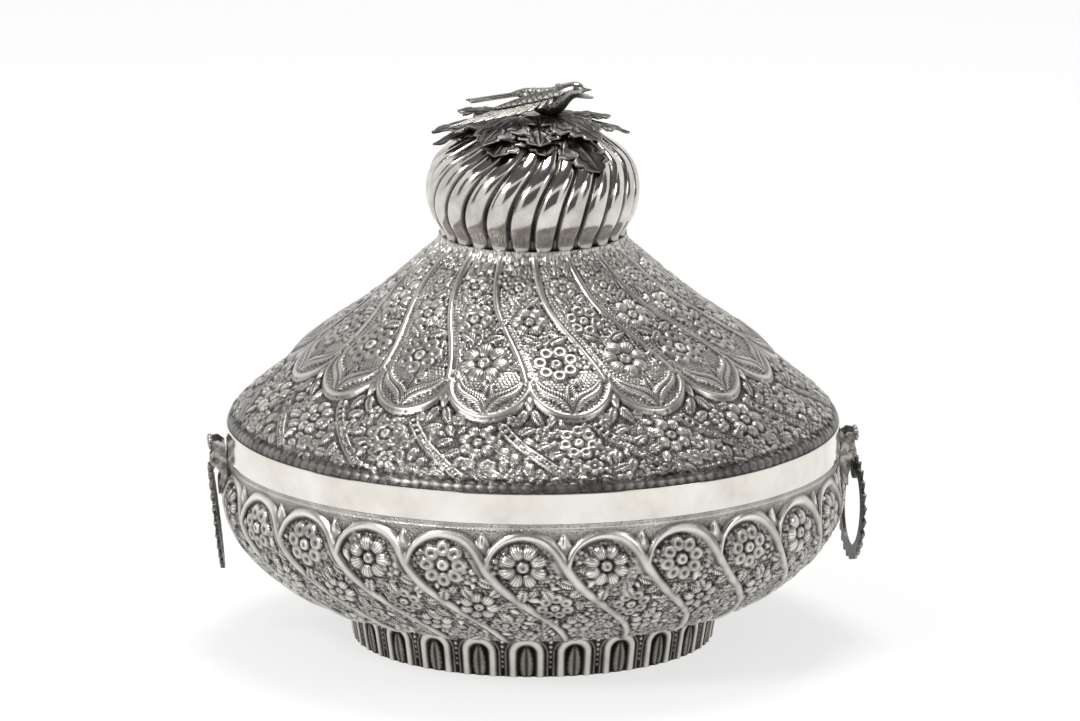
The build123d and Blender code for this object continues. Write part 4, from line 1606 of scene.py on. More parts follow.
@dataclass
class Finial:
    """The bunch of vine leaves on the boss.

    Attributes:
        finish: Its oxidised silver.
        leaves: The leaves, from the lowest tier up.
    """

    finish: Material
    leaves: tuple[VineLeaf, ...] = (
        VineLeaf("leaf_low_left", -87, 49, 14.5, 18, 1, 0.085),
        VineLeaf("leaf_low_front_left", -29, 43, 13, 19, 1, 0.095, 1.5),
        VineLeaf("leaf_low_front", 6, 38.5, 12.2, 14, 0, 0.05, 1.4),
        VineLeaf("leaf_low_front_right", 38, 49, 21.5, 22, 1, 0.145, 1.9),
        VineLeaf("leaf_low_right", 94, 47.5, 10.5, 16, 1, 0.075),
        VineLeaf("leaf_low_back_right", 152, 46, 14, 17, 1, 0.09),
        VineLeaf("leaf_low_back_left", -147, 45, 13.5, 18, 1, 0.09),
        VineLeaf("leaf_mid_left", -83, 50, 7, 20, 2, 0.06),
        VineLeaf("leaf_mid_front", 2, 36, 8.5, 21, 2, 0.1),
        VineLeaf("leaf_mid_right", 109, 41, 4.5, 17, 2, 0.06),
        VineLeaf("leaf_mid_back", 168, 38, 5, 18, 2, 0.06),
        VineLeaf("leaf_top_front_left", -40, 41, 8.5, 23, 3, 0.11),
        VineLeaf("leaf_top_front_right", 52, 40, 8.5, 25, 3, 0.12),
        VineLeaf("leaf_top_back_left", -122, 42, 2.5, 20, 3, 0.05),
    )

    def build(self) -> list[Object]:
        """Build all the leaves in the oxidised silver and return them."""
        return [leaf.build(self.finish) for leaf in self.leaves]


@dataclass(frozen=True)
class Axes:
    """A place with its own right-handed axes, in the row frame in mm.

    Attributes:
        origin: Where its zero lies.
        ahead: Direction of its X axis.
        normal: Direction of its Z axis.
    """

    origin: Vector
    ahead: Vector
    normal: Vector

    def matrix(self) -> Matrix:
        """Turn the axes into a matrix.

        Returns:
            The matrix from these axes, in metres, to the row frame.
        """
        z = self.normal.normalized()
        x = (self.ahead - z * self.ahead.dot(z)).normalized()
        turn = Matrix((x, z.cross(x), z)).transposed().to_4x4()
        return Matrix.Translation(self.origin * MM) @ turn


@dataclass(frozen=True)
class Feather:
    """One flight feather, laid on the plane that its axes span.

    Attributes:
        root: Place of its root along and across, in mm.
        tip: Place of its tip.
        width: Its width in mm.
        lift: Height of its middle above the plane.
        thickness: Its thickness.
    """

    root: Spot
    tip: Spot
    width: float
    lift: float = 0.0
    thickness: float = 0.45

    def add(self, bm: BMesh, place: Matrix) -> None:
        """Add the feather to a bmesh.

        Args:
            bm: The bmesh, with its tone layers.
            place: Matrix of the feather's plane.
        """
        before = len(bm.verts)
        bmesh.ops.create_grid(bm, x_segments=26, y_segments=8, size=0.5)
        bm.verts.ensure_lookup_table()
        tone, phase, traced = (bm.verts.layers.float[name] for name in ("polish", "phase", "traced"))
        run = Vector((self.tip[0] - self.root[0], self.tip[1] - self.root[1]))
        length = run.length
        run.normalize()
        for vert in bm.verts[before:]:
            along, aside = vert.co.x + 0.5, vert.co.y * 2
            # round at the tip, narrow at the quill
            half = self.width / 2 * min(1.0, 0.45 + 2.2 * along) * max(0.02, 1 - along ** 7) ** 0.5
            across = aside * half
            tilt = 0.32 * (1 - aside ** 2) + 0.22 * aside
            shaft = math.exp(-(across / 0.28) ** 2)
            vert.co = Vector((
                self.root[0] + run.x * along * length - run.y * across,
                self.root[1] + run.y * along * length + run.x * across,
                self.lift + tilt * min(1.0, along * 5) + 0.16 * shaft - 0.3 * along ** 2)) * MM
            vert[tone] = 0.42 + 0.42 * shaft + 0.22 * along
            # the barbs slant away from the shaft
            vert[phase] = (along * length - abs(across) * 1.6) * 5.2
            vert[traced] = 0.5
        thicken(bm, before, self.thickness, place)


def open_toned() -> BMesh:
    """Open a bmesh with the layers that the finishes read.

    Returns:
        The empty bmesh.
    """
    bm = bmesh.new()
    for name in ATTRIBUTES:
        bm.verts.layers.float.new(name)
    return bm


def thicken(bm: BMesh, first: int, thickness: float, place: Matrix) -> None:
    """Give the sheet that was added last its thickness and lay it in its place.

    Args:
        bm: The bmesh.
        first: Index of the sheet's first vertex.
        thickness: Its thickness in mm.
        place: Matrix of its plane.
    """
    faces = list({face for vert in bm.verts[first:] for face in vert.link_faces})
    bmesh.ops.recalc_face_normals(bm, faces=faces)
    if sum(face.normal.z for face in faces) < 0:
        bmesh.ops.reverse_faces(bm, faces=faces)
    bmesh.ops.solidify(bm, geom=faces, thickness=thickness * MM)
    bm.verts.ensure_lookup_table()
    bmesh.ops.transform(bm, matrix=place, verts=bm.verts[first:])


def scales(run: ndarray, around: ndarray, long: float, wide: float) -> ndarray:
    """Return the height of overlapping scale feathers, 0 to 1.

    Args:
        run: Distance towards the tail in mm.
        around: Distance across in mm.
        long: Spacing of the rows.
        wide: Width of a feather.

    Returns:
        The feathers' height, highest at their tips.
    """
    row = np.floor(run / long)
    height = np.zeros_like(run)
    for back in (0, 1):
        index = row - back
        reach = run / long - index
        side = (around / wide + 0.5 * (index % 2)) % 1 - 0.5
        tip = 1.45 - 1.9 * side ** 2
        height = np.where(reach < tip, reach / tip, height)
    return height


@dataclass
class Bird:
    """The bird that stands on the leaves with its wings half spread.

    Attributes:
        finish: Its cast silver.
        heading: Bearing of its beak.
        pitch: How far it looks up, in degrees.
        forward: Distance of its middle from the axis, along the heading.
        height: Height of its middle.
        girth: Radius of its body.
        profile: Place along it, half width, half height and lift of its sections.
        eye: Place ahead, aside and up of its right eye.
        wings: Node, side, length and chord of each wing, then the shift of its
            shoulder, the bearing of its tip, its droop and its roll.
        flights: Share along and across of each flight feather's tip, and share
            across of its root, from the outermost.
    """

    finish: Material
    heading: float = 66.7
    pitch: float = 6.5
    forward: float = 9.0
    height: float = 269.2
    girth: float = 7.8
    profile: tuple[tuple[float, float, float, float], ...] = (
        (-21.0, 0.5, 0.4, 2.0), (-17.0, 2.0, 1.2, 2.2), (-13.0, 3.6, 2.8, 1.4), (-8.0, 5.2, 5.5, -1.5),
        (-3.0, 6.1, 6.7, -3.0), (1.0, 6.4, 7.0, -3.2), (4.0, 6.0, 6.8, -2.2), (6.5, 5.4, 6.2, -0.8),
        (9.0, 4.7, 5.2, 1.0), (11.5, 4.2, 4.3, 2.3), (14.0, 3.9, 3.8, 2.8), (16.0, 3.0, 2.9, 2.9),
        (17.4, 1.6, 1.6, 2.8), (19.5, 1.0, 0.9, 2.5), (21.6, 0.3, 0.3, 2.2))
    eye: tuple[float, float, float] = (14.0, 3.35, 3.9)
    wings: tuple[tuple[str, bool, float, float, tuple[float, float, float, float]], ...] = (
        ("near_wing", True, 56.0, 15.0, (4.0, -78.0, 13.5, 26.0)),
        ("far_wing", False, 27.0, 12.0, (4.0, 136.0, 16.0, 10.0)))
    flights: tuple[tuple[float, float, float], ...] = (
        (0.97, 0.03, -0.2), (0.87, 0.12, -0.14), (0.77, 0.22, -0.08), (0.67, 0.3, -0.02),
        (0.58, 0.37, 0.04), (0.49, 0.44, 0.08), (0.4, 0.5, 0.1), (0.3, 0.55, 0.1), (0.2, 0.57, 0.06),
        (0.1, 0.52, 0.02))

    def axes(self) -> Axes:
        """Place the bird's axes.

        Returns:
            Its axes: X to the beak, Z up from its back.
        """
        out = bearing(self.heading)
        lean = math.radians(self.pitch)
        up = Vector((0, 0, 1))
        return Axes(out * self.forward + up * self.height, out * math.cos(lean) + up * math.sin(lean),
                    up * math.cos(lean) - out * math.sin(lean))

    def wing_axes(self, near: bool, shift: float, turn: float, droop: float, roll: float) -> Axes:
        """Return the axes of a wing: X to its tip, Y to its trailing edge.

        Args:
            near: Whether it is the wing on the camera's side.
            shift: Distance of its shoulder ahead of the bird's middle in mm.
            turn: Bearing of its tip.
            droop: How far its tip points down, in degrees.
            roll: How far its outer edge hangs down, in degrees.

        Returns:
            The wing's axes.
        """
        body = self.axes()
        side = bearing(self.heading - 90) * (1 if near else -1)
        down = Vector((0, 0, math.sin(math.radians(droop))))
        run = bearing(turn) * math.cos(math.radians(droop)) - down
        spread = (side - run * side.dot(run)).normalized()
        face = run.cross(side).normalized()
        if face.z < 0:
            face = -face
        spread = spread * math.cos(math.radians(roll)) - face * math.sin(math.radians(roll))
        shoulder = (body.origin + body.ahead * shift + side * self.girth * 0.55
                    + body.normal * self.girth * 0.22)
        return Axes(shoulder, run, run.cross(spread))

    def build(self) -> list[Object]:
        """Build the body, the tail and both wings.

        Returns:
            The pieces.
        """
        pieces = [self._build_body(), self._build_tail()]
        for name, near, length, chord, pose in self.wings:
            place = self.wing_axes(near, *pose).matrix()
            pieces.append(self._build_wing(name, place, length, chord))
        return pieces

    def _build_body(self) -> Object:
        """Turn the body, draw it to its section and lay feathers on it.

        Returns:
            The piece.
        """
        bm = open_toned()
        marks = np.array(self.profile)
        share = np.linspace(0, len(marks) - 1, 150)
        count = np.arange(len(marks))
        u, side, tall, lift = (np.interp(share, count, marks[:, k]) for k in range(4))
        side, tall, lift = (smooth_line(values, 5) for values in (side, tall, lift))
        side[0] = side[-1] = 0.0
        verts = [bm.verts.new((x * MM, 0, r * MM)) for x, r in zip(u, side)]
        edges = [bm.edges.new(pair) for pair in zip(verts[:-1], verts[1:])]
        bmesh.ops.spin(bm, geom=verts + edges, cent=(0, 0, 0), axis=(1, 0, 0), dvec=(0, 0, 0),
                       angle=math.tau, steps=140, use_merge=True)
        bmesh.ops.remove_doubles(bm, verts=bm.verts, dist=0.002 * MM)
        bmesh.ops.recalc_face_normals(bm, faces=bm.faces)
        tone, phase, traced = (bm.verts.layers.float[name] for name in ("polish", "phase", "traced"))
        place = np.array([vert.co for vert in bm.verts]) / MM
        turn = np.arctan2(place[:, 1], place[:, 2])
        radius = np.hypot(place[:, 1], place[:, 2])
        squash = np.interp(place[:, 0], u, tall / np.maximum(side, 0.2))
        rise = np.interp(place[:, 0], u, lift)
        plumage = scales(30 - place[:, 0], turn * 6.0, 2.2, 2.7)
        on_body = np.clip((9.5 - place[:, 0]) / 4, 0, 1) * np.clip((place[:, 0] + 21) / 4, 0, 1)
        # the head, throat and breast stay smooth, as they are rubbed most
        smooth = np.clip((np.abs(turn) - 1.9) * 2, 0, 1) * np.clip((place[:, 0] + 1) / 4, 0, 1)
        plume = plumage * on_body * (1 - smooth)
        swell = radius + 0.5 * plume * np.clip(radius / 2, 0, 1)
        columns = (place[:, 0], turn, swell, squash, rise, plume, on_body)
        for vert, x, a, r, s, w, p, b in zip(bm.verts, *columns):
            vert.co = Vector((x, math.sin(a) * r, math.cos(a) * r * s + w)) * MM
            vert[tone] = 0.5 + 0.34 * (p - 0.45) * b + 0.2 * (1 - b)
            vert[phase] = (x + abs(a) * 2) * 6
            vert[traced] = 0.25 * b
        for across in (-1, 1):
            eye = bmesh.ops.create_uvsphere(bm, u_segments=20, v_segments=12, radius=0.75 * MM)
            ahead, aside, up = self.eye
            bmesh.ops.translate(bm, verts=eye["verts"], vec=Vector((ahead, across * aside, up)) * MM)
            for vert in eye["verts"]:
                vert[tone] = 0.3
        bmesh.ops.transform(bm, matrix=self.axes().matrix(), verts=bm.verts)
        return settle(bm, "bird_body_feathered", Body.LID, Slot.CAST, self.finish, ("bird_body",))

    def _build_tail(self) -> Object:
        """Lay the tail's long feathers over each other.

        Returns:
            The piece.
        """
        bm = open_toned()
        # the tail slopes down a little from the rump
        rump = Matrix.Translation(Vector((-13.0, 0, 2.3)) * MM)
        place = self.axes().matrix() @ rump @ Matrix.Rotation(math.radians(-5.0), 4, "Y")
        for index, aside in enumerate((-2.1, 2.1, -1.2, 1.2, 0.0)):
            tip = (-31.0 + 1.4 * abs(aside), aside * 1.1)
            feather = Feather((1.0, aside * 0.7), tip, 2.9, -0.75 + 0.3 * index, 0.5)
            feather.add(bm, place)
        return settle(bm, "bird_tail_feathers", Body.LID, Slot.CAST, self.finish, ("bird_body",))

    def _build_wing(self, name: str, place: Matrix, length: float, chord: float) -> Object:
        """Lay the flight feathers and the coverts of one wing.

        Args:
            name: The node that it stands for.
            place: Matrix of the wing's plane.
            length: Its length in mm.
            chord: Its greatest width.

        Returns:
            The piece.
        """
        bm = open_toned()
        for index, (along, aside, root) in enumerate(self.flights):
            start = (length * min(0.12, along * 0.4), chord * root)
            Feather(start, (length * along, chord * aside), chord * 0.24, -0.35 + 0.07 * index).add(bm, place)
        before = len(bm.verts)
        bmesh.ops.create_grid(bm, x_segments=90, y_segments=44, size=0.5)
        bm.verts.ensure_lookup_table()
        verts = bm.verts[before:]
        tone = bm.verts.layers.float["polish"]
        run = np.array([vert.co.x + 0.5 for vert in verts])
        aside = np.array([vert.co.y * 2 for vert in verts])
        # the coverts lie over the shoulder and run out along the leading edge
        x = (-0.1 + 0.66 * run) * length
        half = np.interp(run, (0, 0.1, 0.35, 0.7, 0.9, 1), (0.13, 0.26, 0.3, 0.2, 0.11, 0.03)) * chord
        middle = np.interp(run, (0, 0.2, 0.6, 1), (0.08, 0.0, -0.1, -0.16)) * chord
        y = middle + aside * half
        shape = scales(x + 10, y, 2.6, 2.8)
        dome = np.sqrt(np.clip(1 - aside ** 2, 0, 1)) * np.interp(run, (0, 0.3, 1), (0.9, 1.15, 0.4))
        for vert, a, b, h, d in zip(verts, x, y, shape, dome):
            vert.co = Vector((a, b, 0.35 + d + 0.26 * h)) * MM
            vert[tone] = 0.27 + 0.22 * (h - 0.3)
        thicken(bm, before, 0.6, place)
        return settle(bm, name + "_feathers", Body.LID, Slot.CAST, self.finish, (name,))


@dataclass
class SideHandle:
    """A loose chased ring under its crest, on one side of the bowl.

    Attributes:
        finish: Its chased silver.
        side: Name of the side.
        outward: 1 on the right, -1 on the left.
        lean: How far the ring tips down from hanging straight, in degrees.
        yaw: How far the ring has turned on its pin.
        ring: The body that the ring rides on.
        pin_reach: Distance of the pin's middle from the axis.
        pin_height: Its height.
        columns: Columns of relief round the hoop.
        hoop_inner: Inner radius of the hoop.
        hoop_flat: Radius from which its edge is scalloped.
        hoop_outer: Radius of its edge between the scallops.
        hoop_drop: How far its middle hangs below the pin.
        set_out: How far hoop and shield stand out from the pin.
        thick: Thickness of hoop and shield.
        relief_depth: Greatest depth of their relief.
        scallops: Number of scallops round the hoop.
        scallop_radius: Radius of a scallop.
        shield_drop: How far the shield's middle hangs below the pin.
        shield_radius: Radius of the shield.
        crest_lobes: Place across and up, and radius, of the crest's lobes.
    """

    finish: Material
    side: str
    outward: int
    lean: float
    yaw: float
    ring: Body
    pin_reach: float = 155.5
    pin_height: float = 89.9
    columns: int = 480
    hoop_inner: float = 19.3
    hoop_flat: float = 22.4
    hoop_outer: float = 24.3
    hoop_drop: float = 28.5
    set_out: float = 3.0
    thick: float = 2.4
    relief_depth: float = 0.9
    scallops: int = 24
    scallop_radius: float = 2.1
    shield_drop: float = 8.5
    shield_radius: float = 6.0
    crest_lobes: tuple[tuple[float, float, float], ...] = (
        (0.0, 9.75, 2.2), (4.9, 9.5, 1.75), (-4.9, 9.5, 1.75), (7.2, 8.3, 1.0), (-7.2, 8.3, 1.0),
        (2.6, 8.6, 1.3), (-2.6, 8.6, 1.3))

    @property
    def pin(self) -> Vector:
        """Return the pin's middle in mm."""
        return Vector((self.outward * self.pin_reach, 0, self.pin_height))

    def ring_axes(self) -> Axes:
        """Place the ring's axes on its pin.

        Returns:
            Its axes: X level, Y up, Z away from the bowl.
        """
        tilt, twist = math.radians(self.lean), math.radians(self.yaw)
        facing = Vector((self.outward * math.cos(tilt) * math.cos(twist),
                         math.cos(tilt) * math.sin(twist), -math.sin(tilt)))
        level = Vector((-self.outward * math.sin(twist), math.cos(twist), 0))
        return Axes(self.pin, level * self.outward, facing)

    def build(self) -> list[Object]:
        """Build the ring's three pieces and the crest.

        Returns:
            The pieces.
        """
        return [self._build_hoop(), self._build_shield(), self._build_eye(), self._build_crest()]

    def _build_disc(self, name: str, radii: tuple[float, float, float], columns: int,
                    chase: Callable[[Relief], None]) -> Object:
        """Build a flat chased ring about its own middle.

        Args:
            name: The piece's name.
            radii: Radii that its face runs through, from the inner edge outwards.
            columns: Columns of relief round it.
            chase: Function that chases its relief.

        Returns:
            The piece.
        """
        path = WallPath(tuple((radius, self.thick / 2) for radius in radii), (1.0, 0.0), (1.0, 0.0))
        stations, points, normals = path.rows(0.27)
        relief = Relief(columns, stations, points[:, 0], 7)
        relief.matting[:] = 0.4
        chase(relief)
        relief.soften()
        relief.height = np.minimum(relief.height, self.relief_depth - CLEARANCE)
        depth, back = (np.full(len(stations), value) for value in (self.relief_depth, self.thick - 1.0))
        wall = ChasedWall(relief, points, normals, depth, back, relief.polish(3, 1.3, 0.42), self.finish)
        return wall.build([(name, 1.0)], self.ring, Slot.CHASED, self.side + "_ring")[0]

    def _cut_scallops(self, mesh: Mesh) -> None:
        """Draw the hoop's outer edge out into round scallops.

        Args:
            mesh: The hoop's mesh, about its own middle.
        """
        place = read_places(mesh)
        radius = np.hypot(place[:, 0], place[:, 1])
        pitch = math.tau / self.scallops
        turn = np.arctan2(place[:, 0], -place[:, 1]) % pitch - pitch / 2
        off = turn * self.hoop_outer
        bulge = np.sqrt(np.clip(self.scallop_radius ** 2 - off ** 2, 0, None)) * MM
        share = np.clip((radius / MM - self.hoop_flat) / (self.hoop_outer - self.hoop_flat), 0, 1)
        place[:, :2] *= (1 + share * bulge / radius)[:, None]
        write_places(mesh, place)

    def _hang(self, drop: float) -> Matrix:
        """Return the matrix of a disc that hangs a distance below the pin, in mm."""
        return self.ring_axes().matrix() @ Matrix.Translation(Vector((0, -drop, self.set_out)) * MM)

    def _build_hoop(self) -> Object:
        """Build the scalloped hoop.

        Returns:
            The piece.
        """

        def chase(relief: Relief) -> None:
            """Chase beads on the scallops and leaves inside them."""
            for k in range(self.scallops):
                angle = (k + 0.5) * 360 / self.scallops
                relief.bead((angle, 4.2), 1.5, 0.0, 0.9)
                relief.leaf((angle - 3.5, 2.6), 4.6, 2.2, 100, 0.0, 0.8)
                relief.beads([(angle - 7.5, 0.7), (angle + 7.5, 0.7)], 1.3, 0.55, 0.0, 0.7)

        radii = (self.hoop_inner, 21.8, self.hoop_outer)
        piece = self._build_disc(self.side + "_ring_hoop", radii, self.columns, chase)
        self._cut_scallops(piece.data)
        piece.data.transform(self._hang(self.hoop_drop))
        return piece

    def _build_shield(self) -> Object:
        """Build the round shield where the hoop meets its eye.

        Returns:
            The piece.
        """

        def chase(relief: Relief) -> None:
            """Chase a rosette with a beaded edge."""
            for k in range(8):
                relief.bud((k * 45.0, 2.1), 3.0, 2.0, 180, 0.0, 0.85)
            relief.beads([(k * 20.0, 4.5) for k in range(19)], 1.5, 0.62, 0.0, 0.8)

        radii = (0.9, 3.0, self.shield_radius)
        piece = self._build_disc(self.side + "_ring_shield", radii, 180, chase)
        # a small round boss closes its middle
        bm = bmesh.new()
        bm.from_mesh(piece.data)
        boss = bmesh.ops.create_uvsphere(bm, u_segments=32, v_segments=18, radius=1.25 * MM)
        tone = bm.verts.layers.float["polish"]
        for vert in boss["verts"]:
            vert[tone] = 0.7
        bm.to_mesh(piece.data)
        bm.free()
        piece.data.transform(self._hang(self.shield_drop))
        piece.data.polygons.foreach_set("use_smooth", [True] * len(piece.data.polygons))
        return piece

    def _build_eye(self) -> Object:
        """Build the eye that hangs on the pin, and the web under it.

        Returns:
            The piece.
        """
        bm = open_toned()
        tone = bm.verts.layers.float["polish"]
        axes = self.ring_axes()
        inner, outer, half = 1.72, 2.68, 2.45
        spin_section(bm, ((inner, -half), (outer, -half), (outer, half), (inner, half)), 96)
        eye = Axes(axes.origin, axes.normal, axes.ahead.normalized())
        bmesh.ops.transform(bm, matrix=eye.matrix(), verts=bm.verts)
        # the web slants from the eye out to the shield
        web = bmesh.ops.create_cube(bm, size=1.0)
        bmesh.ops.scale(bm, vec=Vector((4.9, 3.9, 2.3)) * MM, verts=web["verts"])
        tilt = Matrix.Rotation(math.radians(-38), 4, "X")
        move = axes.matrix() @ Matrix.Translation(Vector((0, -3.9, 1.75)) * MM) @ tilt
        bmesh.ops.transform(bm, matrix=move, verts=web["verts"])
        bmesh.ops.recalc_face_normals(bm, faces=bm.faces)
        soften_corners(bm, 0.25)
        for vert in bm.verts:
            vert[tone] = 0.5
        return settle(bm, self.side + "_ring_eye", self.ring, Slot.CHASED, self.finish,
                      (self.side + "_ring",))

    def _build_crest(self) -> Object:
        """Build the palmette crest above the pin.

        Returns:
            The piece.
        """
        bm = open_toned()
        tone = bm.verts.layers.float["polish"]
        bar = bmesh.ops.create_cube(bm, size=1.0)
        bmesh.ops.scale(bm, vec=Vector((16.2, 3.7, 1.4)) * MM, verts=bar["verts"])
        bmesh.ops.translate(bm, vec=Vector((0, 8.1, 2.4)) * MM, verts=bar["verts"])
        soften_corners(bm, 0.35)
        for vert in bm.verts:
            vert[tone] = 0.4
        for x, y, radius in self.crest_lobes:
            lobe = bmesh.ops.create_uvsphere(bm, u_segments=40, v_segments=24, radius=radius * MM)
            for vert in lobe["verts"]:
                # each lobe is fluted like a shell
                flute = 0.5 + 0.5 * math.cos(math.atan2(vert.co.x, vert.co.y) * 9)
                vert[tone] = 0.32 + 0.5 * flute
                vert.co *= 0.93 + 0.07 * flute
                vert.co.z *= 1.3 / radius
            bmesh.ops.translate(bm, vec=Vector((x, y, 2.45)) * MM, verts=lobe["verts"])
        front = Axes(self.pin, Vector((0, self.outward, 0)), Vector((self.outward, 0, 0)))
        bmesh.ops.transform(bm, matrix=front.matrix(), verts=bm.verts)
        return settle(bm, self.side + "_crest_palmette", Body.BOWL, Slot.CHASED, self.finish,
                      (self.side + "_crest",))


@dataclass
class Studio:
    """White floor, soft lamps, dark flags for the reflections and the camera.

    Attributes:
        azimuth: Where the camera stands, in degrees from -Y towards +X.
        elevation: How far it looks down, in degrees.
        distance: How far away it stands, in metres.
        lens: Its focal length in mm.
        aim: How far to the right of the axis and how high it aims, in mm.
        target: The place that the lamps and flags face, in metres.
        room_light: How bright the white room lights the box.
        lamps: Name, place, size and power of each lamp.
        flags: Name, place, width and depth of each flag.
    """

    azimuth: float = -CAMERA_BEARING
    elevation: float = 13.4
    distance: float = 6.0
    lens: float = 410.0
    aim: Spot = (3.4, 136.6)
    target: tuple[float, float, float] = (0.0, 0.0, 0.12)
    room_light: float = 0.55
    lamps: tuple[tuple[str, tuple[float, float, float], float, float], ...] = (
        ("key_lamp", (-1.5, -1.3, 1.6), 0.8, 33.0),
        ("fill_lamp", (1.7, -1.1, 1.2), 0.8, 5.5),
        ("top_lamp", (0.1, 0.5, 2.1), 0.8, 26.0),
    )
    flags: tuple[tuple[str, tuple[float, float, float], tuple[float, float]], ...] = (
        ("front_flag", (0.0, -3.0, 0.95), (3.6, 1.7)),
        ("left_flag", (-2.6, -0.4, 0.9), (0.9, 1.6)),
        ("right_flag", (2.5, -0.5, 1.1), (1.9, 1.9)),
        ("ceiling_flag", (0.0, -0.3, 2.5), (5.0, 4.0)),
    )

    def build(self) -> None:
        """Build everything that isn't part of the box."""
        self._add_camera()
        self._add_floor()
        self._add_lamps()
        self._add_flags()
        self._light_world()
        bpy.context.scene.view_settings.view_transform = "Standard"

    def _add_camera(self) -> None:
        """Stand the camera where the photograph was taken from."""
        camera = bpy.data.objects.new("camera", bpy.data.cameras.new("camera"))
        bpy.context.scene.collection.objects.link(camera)
        camera.data.lens = self.lens
        camera.data.sensor_width = 36.0
        turn, tilt = math.radians(self.azimuth), math.radians(self.elevation)
        back = Vector((math.sin(turn) * math.cos(tilt), -math.cos(turn) * math.cos(tilt), math.sin(tilt)))
        right = Vector((math.cos(turn), math.sin(turn), 0))
        target = right * self.aim[0] * MM + Vector((0, 0, self.aim[1] * MM))
        camera.location = target + back * self.distance
        camera.rotation_euler = (-back).to_track_quat("-Z", "Y").to_euler()
        camera.data.clip_end = 50.0
        bpy.context.scene.camera = camera

    def _plane(self, name: str, wide: float, deep: float) -> Object:
        """Make a flat sheet for the stage.

        Args:
            name: Its name.
            wide: Its width in metres.
            deep: Its depth in metres.

        Returns:
            The sheet.
        """
        bm = bmesh.new()
        bmesh.ops.create_grid(bm, x_segments=1, y_segments=1, size=0.5)
        bmesh.ops.scale(bm, vec=(wide, deep, 1), verts=bm.verts)
        mesh = bpy.data.meshes.new(name)
        bm.to_mesh(mesh)
        bm.free()
        plane = bpy.data.objects.new(name, mesh)
        bpy.context.scene.collection.objects.link(plane)
        return plane

    @staticmethod
    def _find_seen(tree: NodeTree) -> NodeSocket:
        """Find out whether the eye, a reflection or a clear body looks.

        Args:
            tree: The node tree.

        Returns:
            1 for such a ray, 0 for one that only gathers light.
        """
        path = add_node(tree, "LightPath")
        seen = path.outputs["Is Camera Ray"]
        for ray in ("Is Glossy Ray", "Is Transmission Ray"):
            either = add_node(tree, "Math", {"operation": "MAXIMUM"}, {
                0: seen, 1: path.outputs[ray]})
            seen = either.outputs["Value"]
        return seen

    def _add_floor(self) -> None:
        """Lay the white floor, which shows the box's soft shadow."""
        floor = self._plane("floor", 40.0, 40.0)
        material = bpy.data.materials.new("white_floor")
        tree = clear_tree(material)
        seen = self._find_seen(tree)
        # a white sheet that glows a little for the eye, so that it reads as white
        share = add_node(tree, "Math", {"operation": "MULTIPLY"}, {0: seen, 1: 0.7})
        sheet = add_node(tree, "BsdfDiffuse", None, {"Color": linear("f4f4f3")})
        glow = add_node(tree, "Emission", None, {"Color": linear("ffffff"), "Strength": 1.0})
        mix = add_node(tree, "MixShader", None, {
            0: share.outputs["Value"], 1: sheet.outputs["BSDF"], 2: glow.outputs["Emission"]})
        add_node(tree, "OutputMaterial", None, {"Surface": mix.outputs["Shader"]})
        floor.data.materials.append(material)

    def _add_lamps(self) -> None:
        """Hang the soft lamps round the box."""
        for name, place, size, power in self.lamps:
            lamp = bpy.data.objects.new(name, bpy.data.lights.new(name, "AREA"))
            bpy.context.scene.collection.objects.link(lamp)
            lamp.data.shape = "DISK"
            lamp.data.size = size
            lamp.data.energy = power
            lamp.location = place
            facing = Vector(self.target) - Vector(place)
            lamp.rotation_euler = facing.to_track_quat("-Z", "Y").to_euler()

    def _add_flags(self) -> None:
        """Stand dark flags that only the metal's reflections show."""
        material = bpy.data.materials.new("dark_flag")
        tree = clear_tree(material)
        cloth = add_node(tree, "BsdfDiffuse", None, {"Color": linear("6a6a6a")})
        add_node(tree, "OutputMaterial", None, {"Surface": cloth.outputs["BSDF"]})
        for name, place, size in self.flags:
            flag = self._plane(name, *size)
            flag.location = place
            facing = Vector(self.target) - Vector(place)
            flag.rotation_euler = facing.to_track_quat("Z", "Y").to_euler()
            flag.data.materials.append(material)
            flag.visible_camera = flag.visible_transmission = False
            flag.visible_diffuse = flag.visible_shadow = False

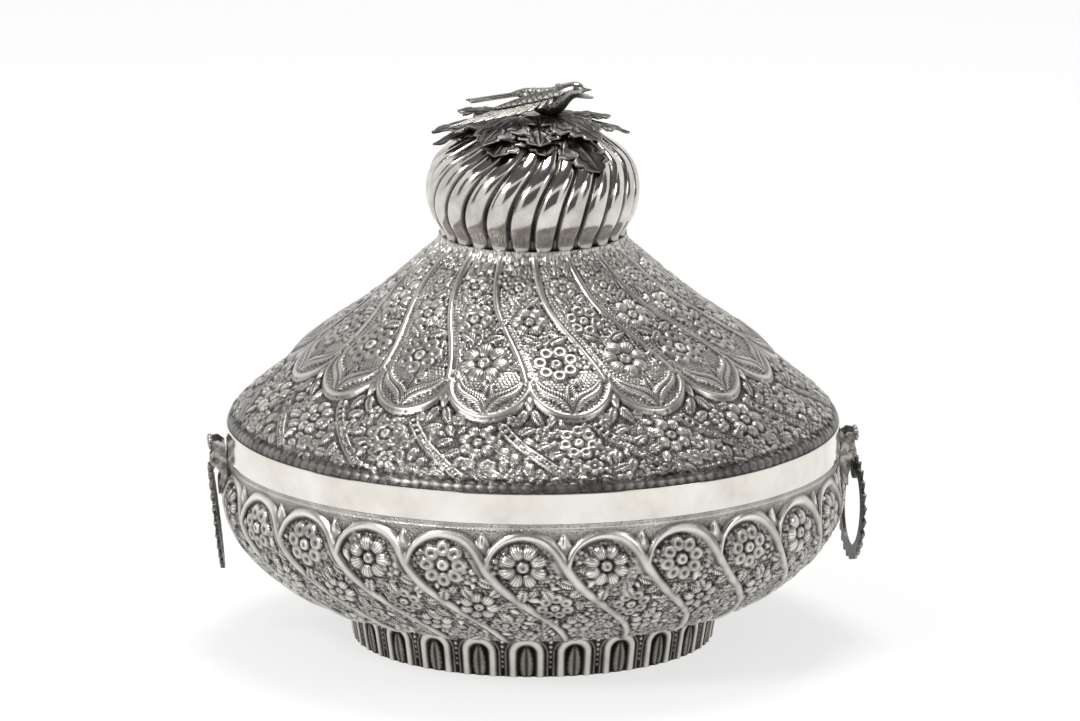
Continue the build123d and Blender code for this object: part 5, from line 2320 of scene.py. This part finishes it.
    def _light_world(self) -> None:
        """Give the eye and the reflections a white room, and the box soft light."""
        world = bpy.data.worlds.new("white_room")
        bpy.context.scene.world = world
        tree = clear_tree(world)
        power = add_node(tree, "MapRange", None, {
            "Value": self._find_seen(tree), "To Min": self.room_light, "To Max": 1.0})
        room = add_node(tree, "Background", None, {
            "Color": linear("ffffff"), "Strength": power.outputs["Result"]})
        add_node(tree, "OutputWorld", None, {"Surface": room.outputs["Background"]})


class SilverBox:
    """The lidded box with all its sub-assemblies.

    Attributes:
        band: Section of the lid's plain band.
        collar: Section of the collar inside the mouth.
    """

    band: tuple[Spot, ...] = (
        (148.85, 91.8), (150.0, 91.8), (150.0, 92.7), (150.0, 105.8), (150.0, 106.95), (148.85, 106.95))
    collar: tuple[Spot, ...] = ((147.25, 86.7), (148.35, 86.7), (148.35, 100.15), (147.25, 100.15))

    def __init__(self) -> None:
        """Make the finishes."""
        self.chased = CHASED.build()
        self.gadroon = GADROON.build()
        self.buffed = BUFFED.build()
        self.oxidised = OXIDISED.build()
        self.cast = CAST.build()
        self.foot = FOOT.build()
        self.satin = SATIN.build()

    def dress_fittings(self) -> None:
        """Give the CAD pieces that stay their finishes."""
        for name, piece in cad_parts.items():
            finish = self.buffed if name in ("lid_band", "rim_collar") else self.satin
            if not piece.data.materials:
                piece.data.materials.append(finish)
            for index in range(len(piece.data.materials)):
                piece.data.materials[index] = finish

    def build(self) -> None:
        """Build every piece and report it."""
        self.dress_fittings()
        band = TurnedRing("lid_band_buffed", self.band, 512, 0.3)
        collar = TurnedRing("rim_collar_turned", self.collar, 360, 0.25)
        made = [
            band.build(Body.LID, Slot.POLISHED, self.buffed, ("lid_band",)),
            collar.build(Body.BOWL, Slot.POLISHED, self.buffed, ("rim_collar",)),
        ]
        for part in (ChasedLid(self.chased), ChasedBowl(self.chased), ArchedFoot(self.foot),
                     GadroonBulb(self.gadroon), Finial(self.oxidised), Bird(self.cast),
                     SideHandle(self.chased, "left", -1, 7.0, 2.0, Body.LEFT_RING),
                     SideHandle(self.chased, "right", 1, 3.0, 8.0, Body.RIGHT_RING)):
            made += part.build()
        for piece in made:
            LOG.info("%s: %d faces", piece.name, len(piece.data.polygons))


def main() -> None:
    """Build the studio and the box."""
    logging.basicConfig(level=logging.INFO, format="%(message)s")
    Studio().build()
    SilverBox().build()


if __name__ == "__main__":
    main()
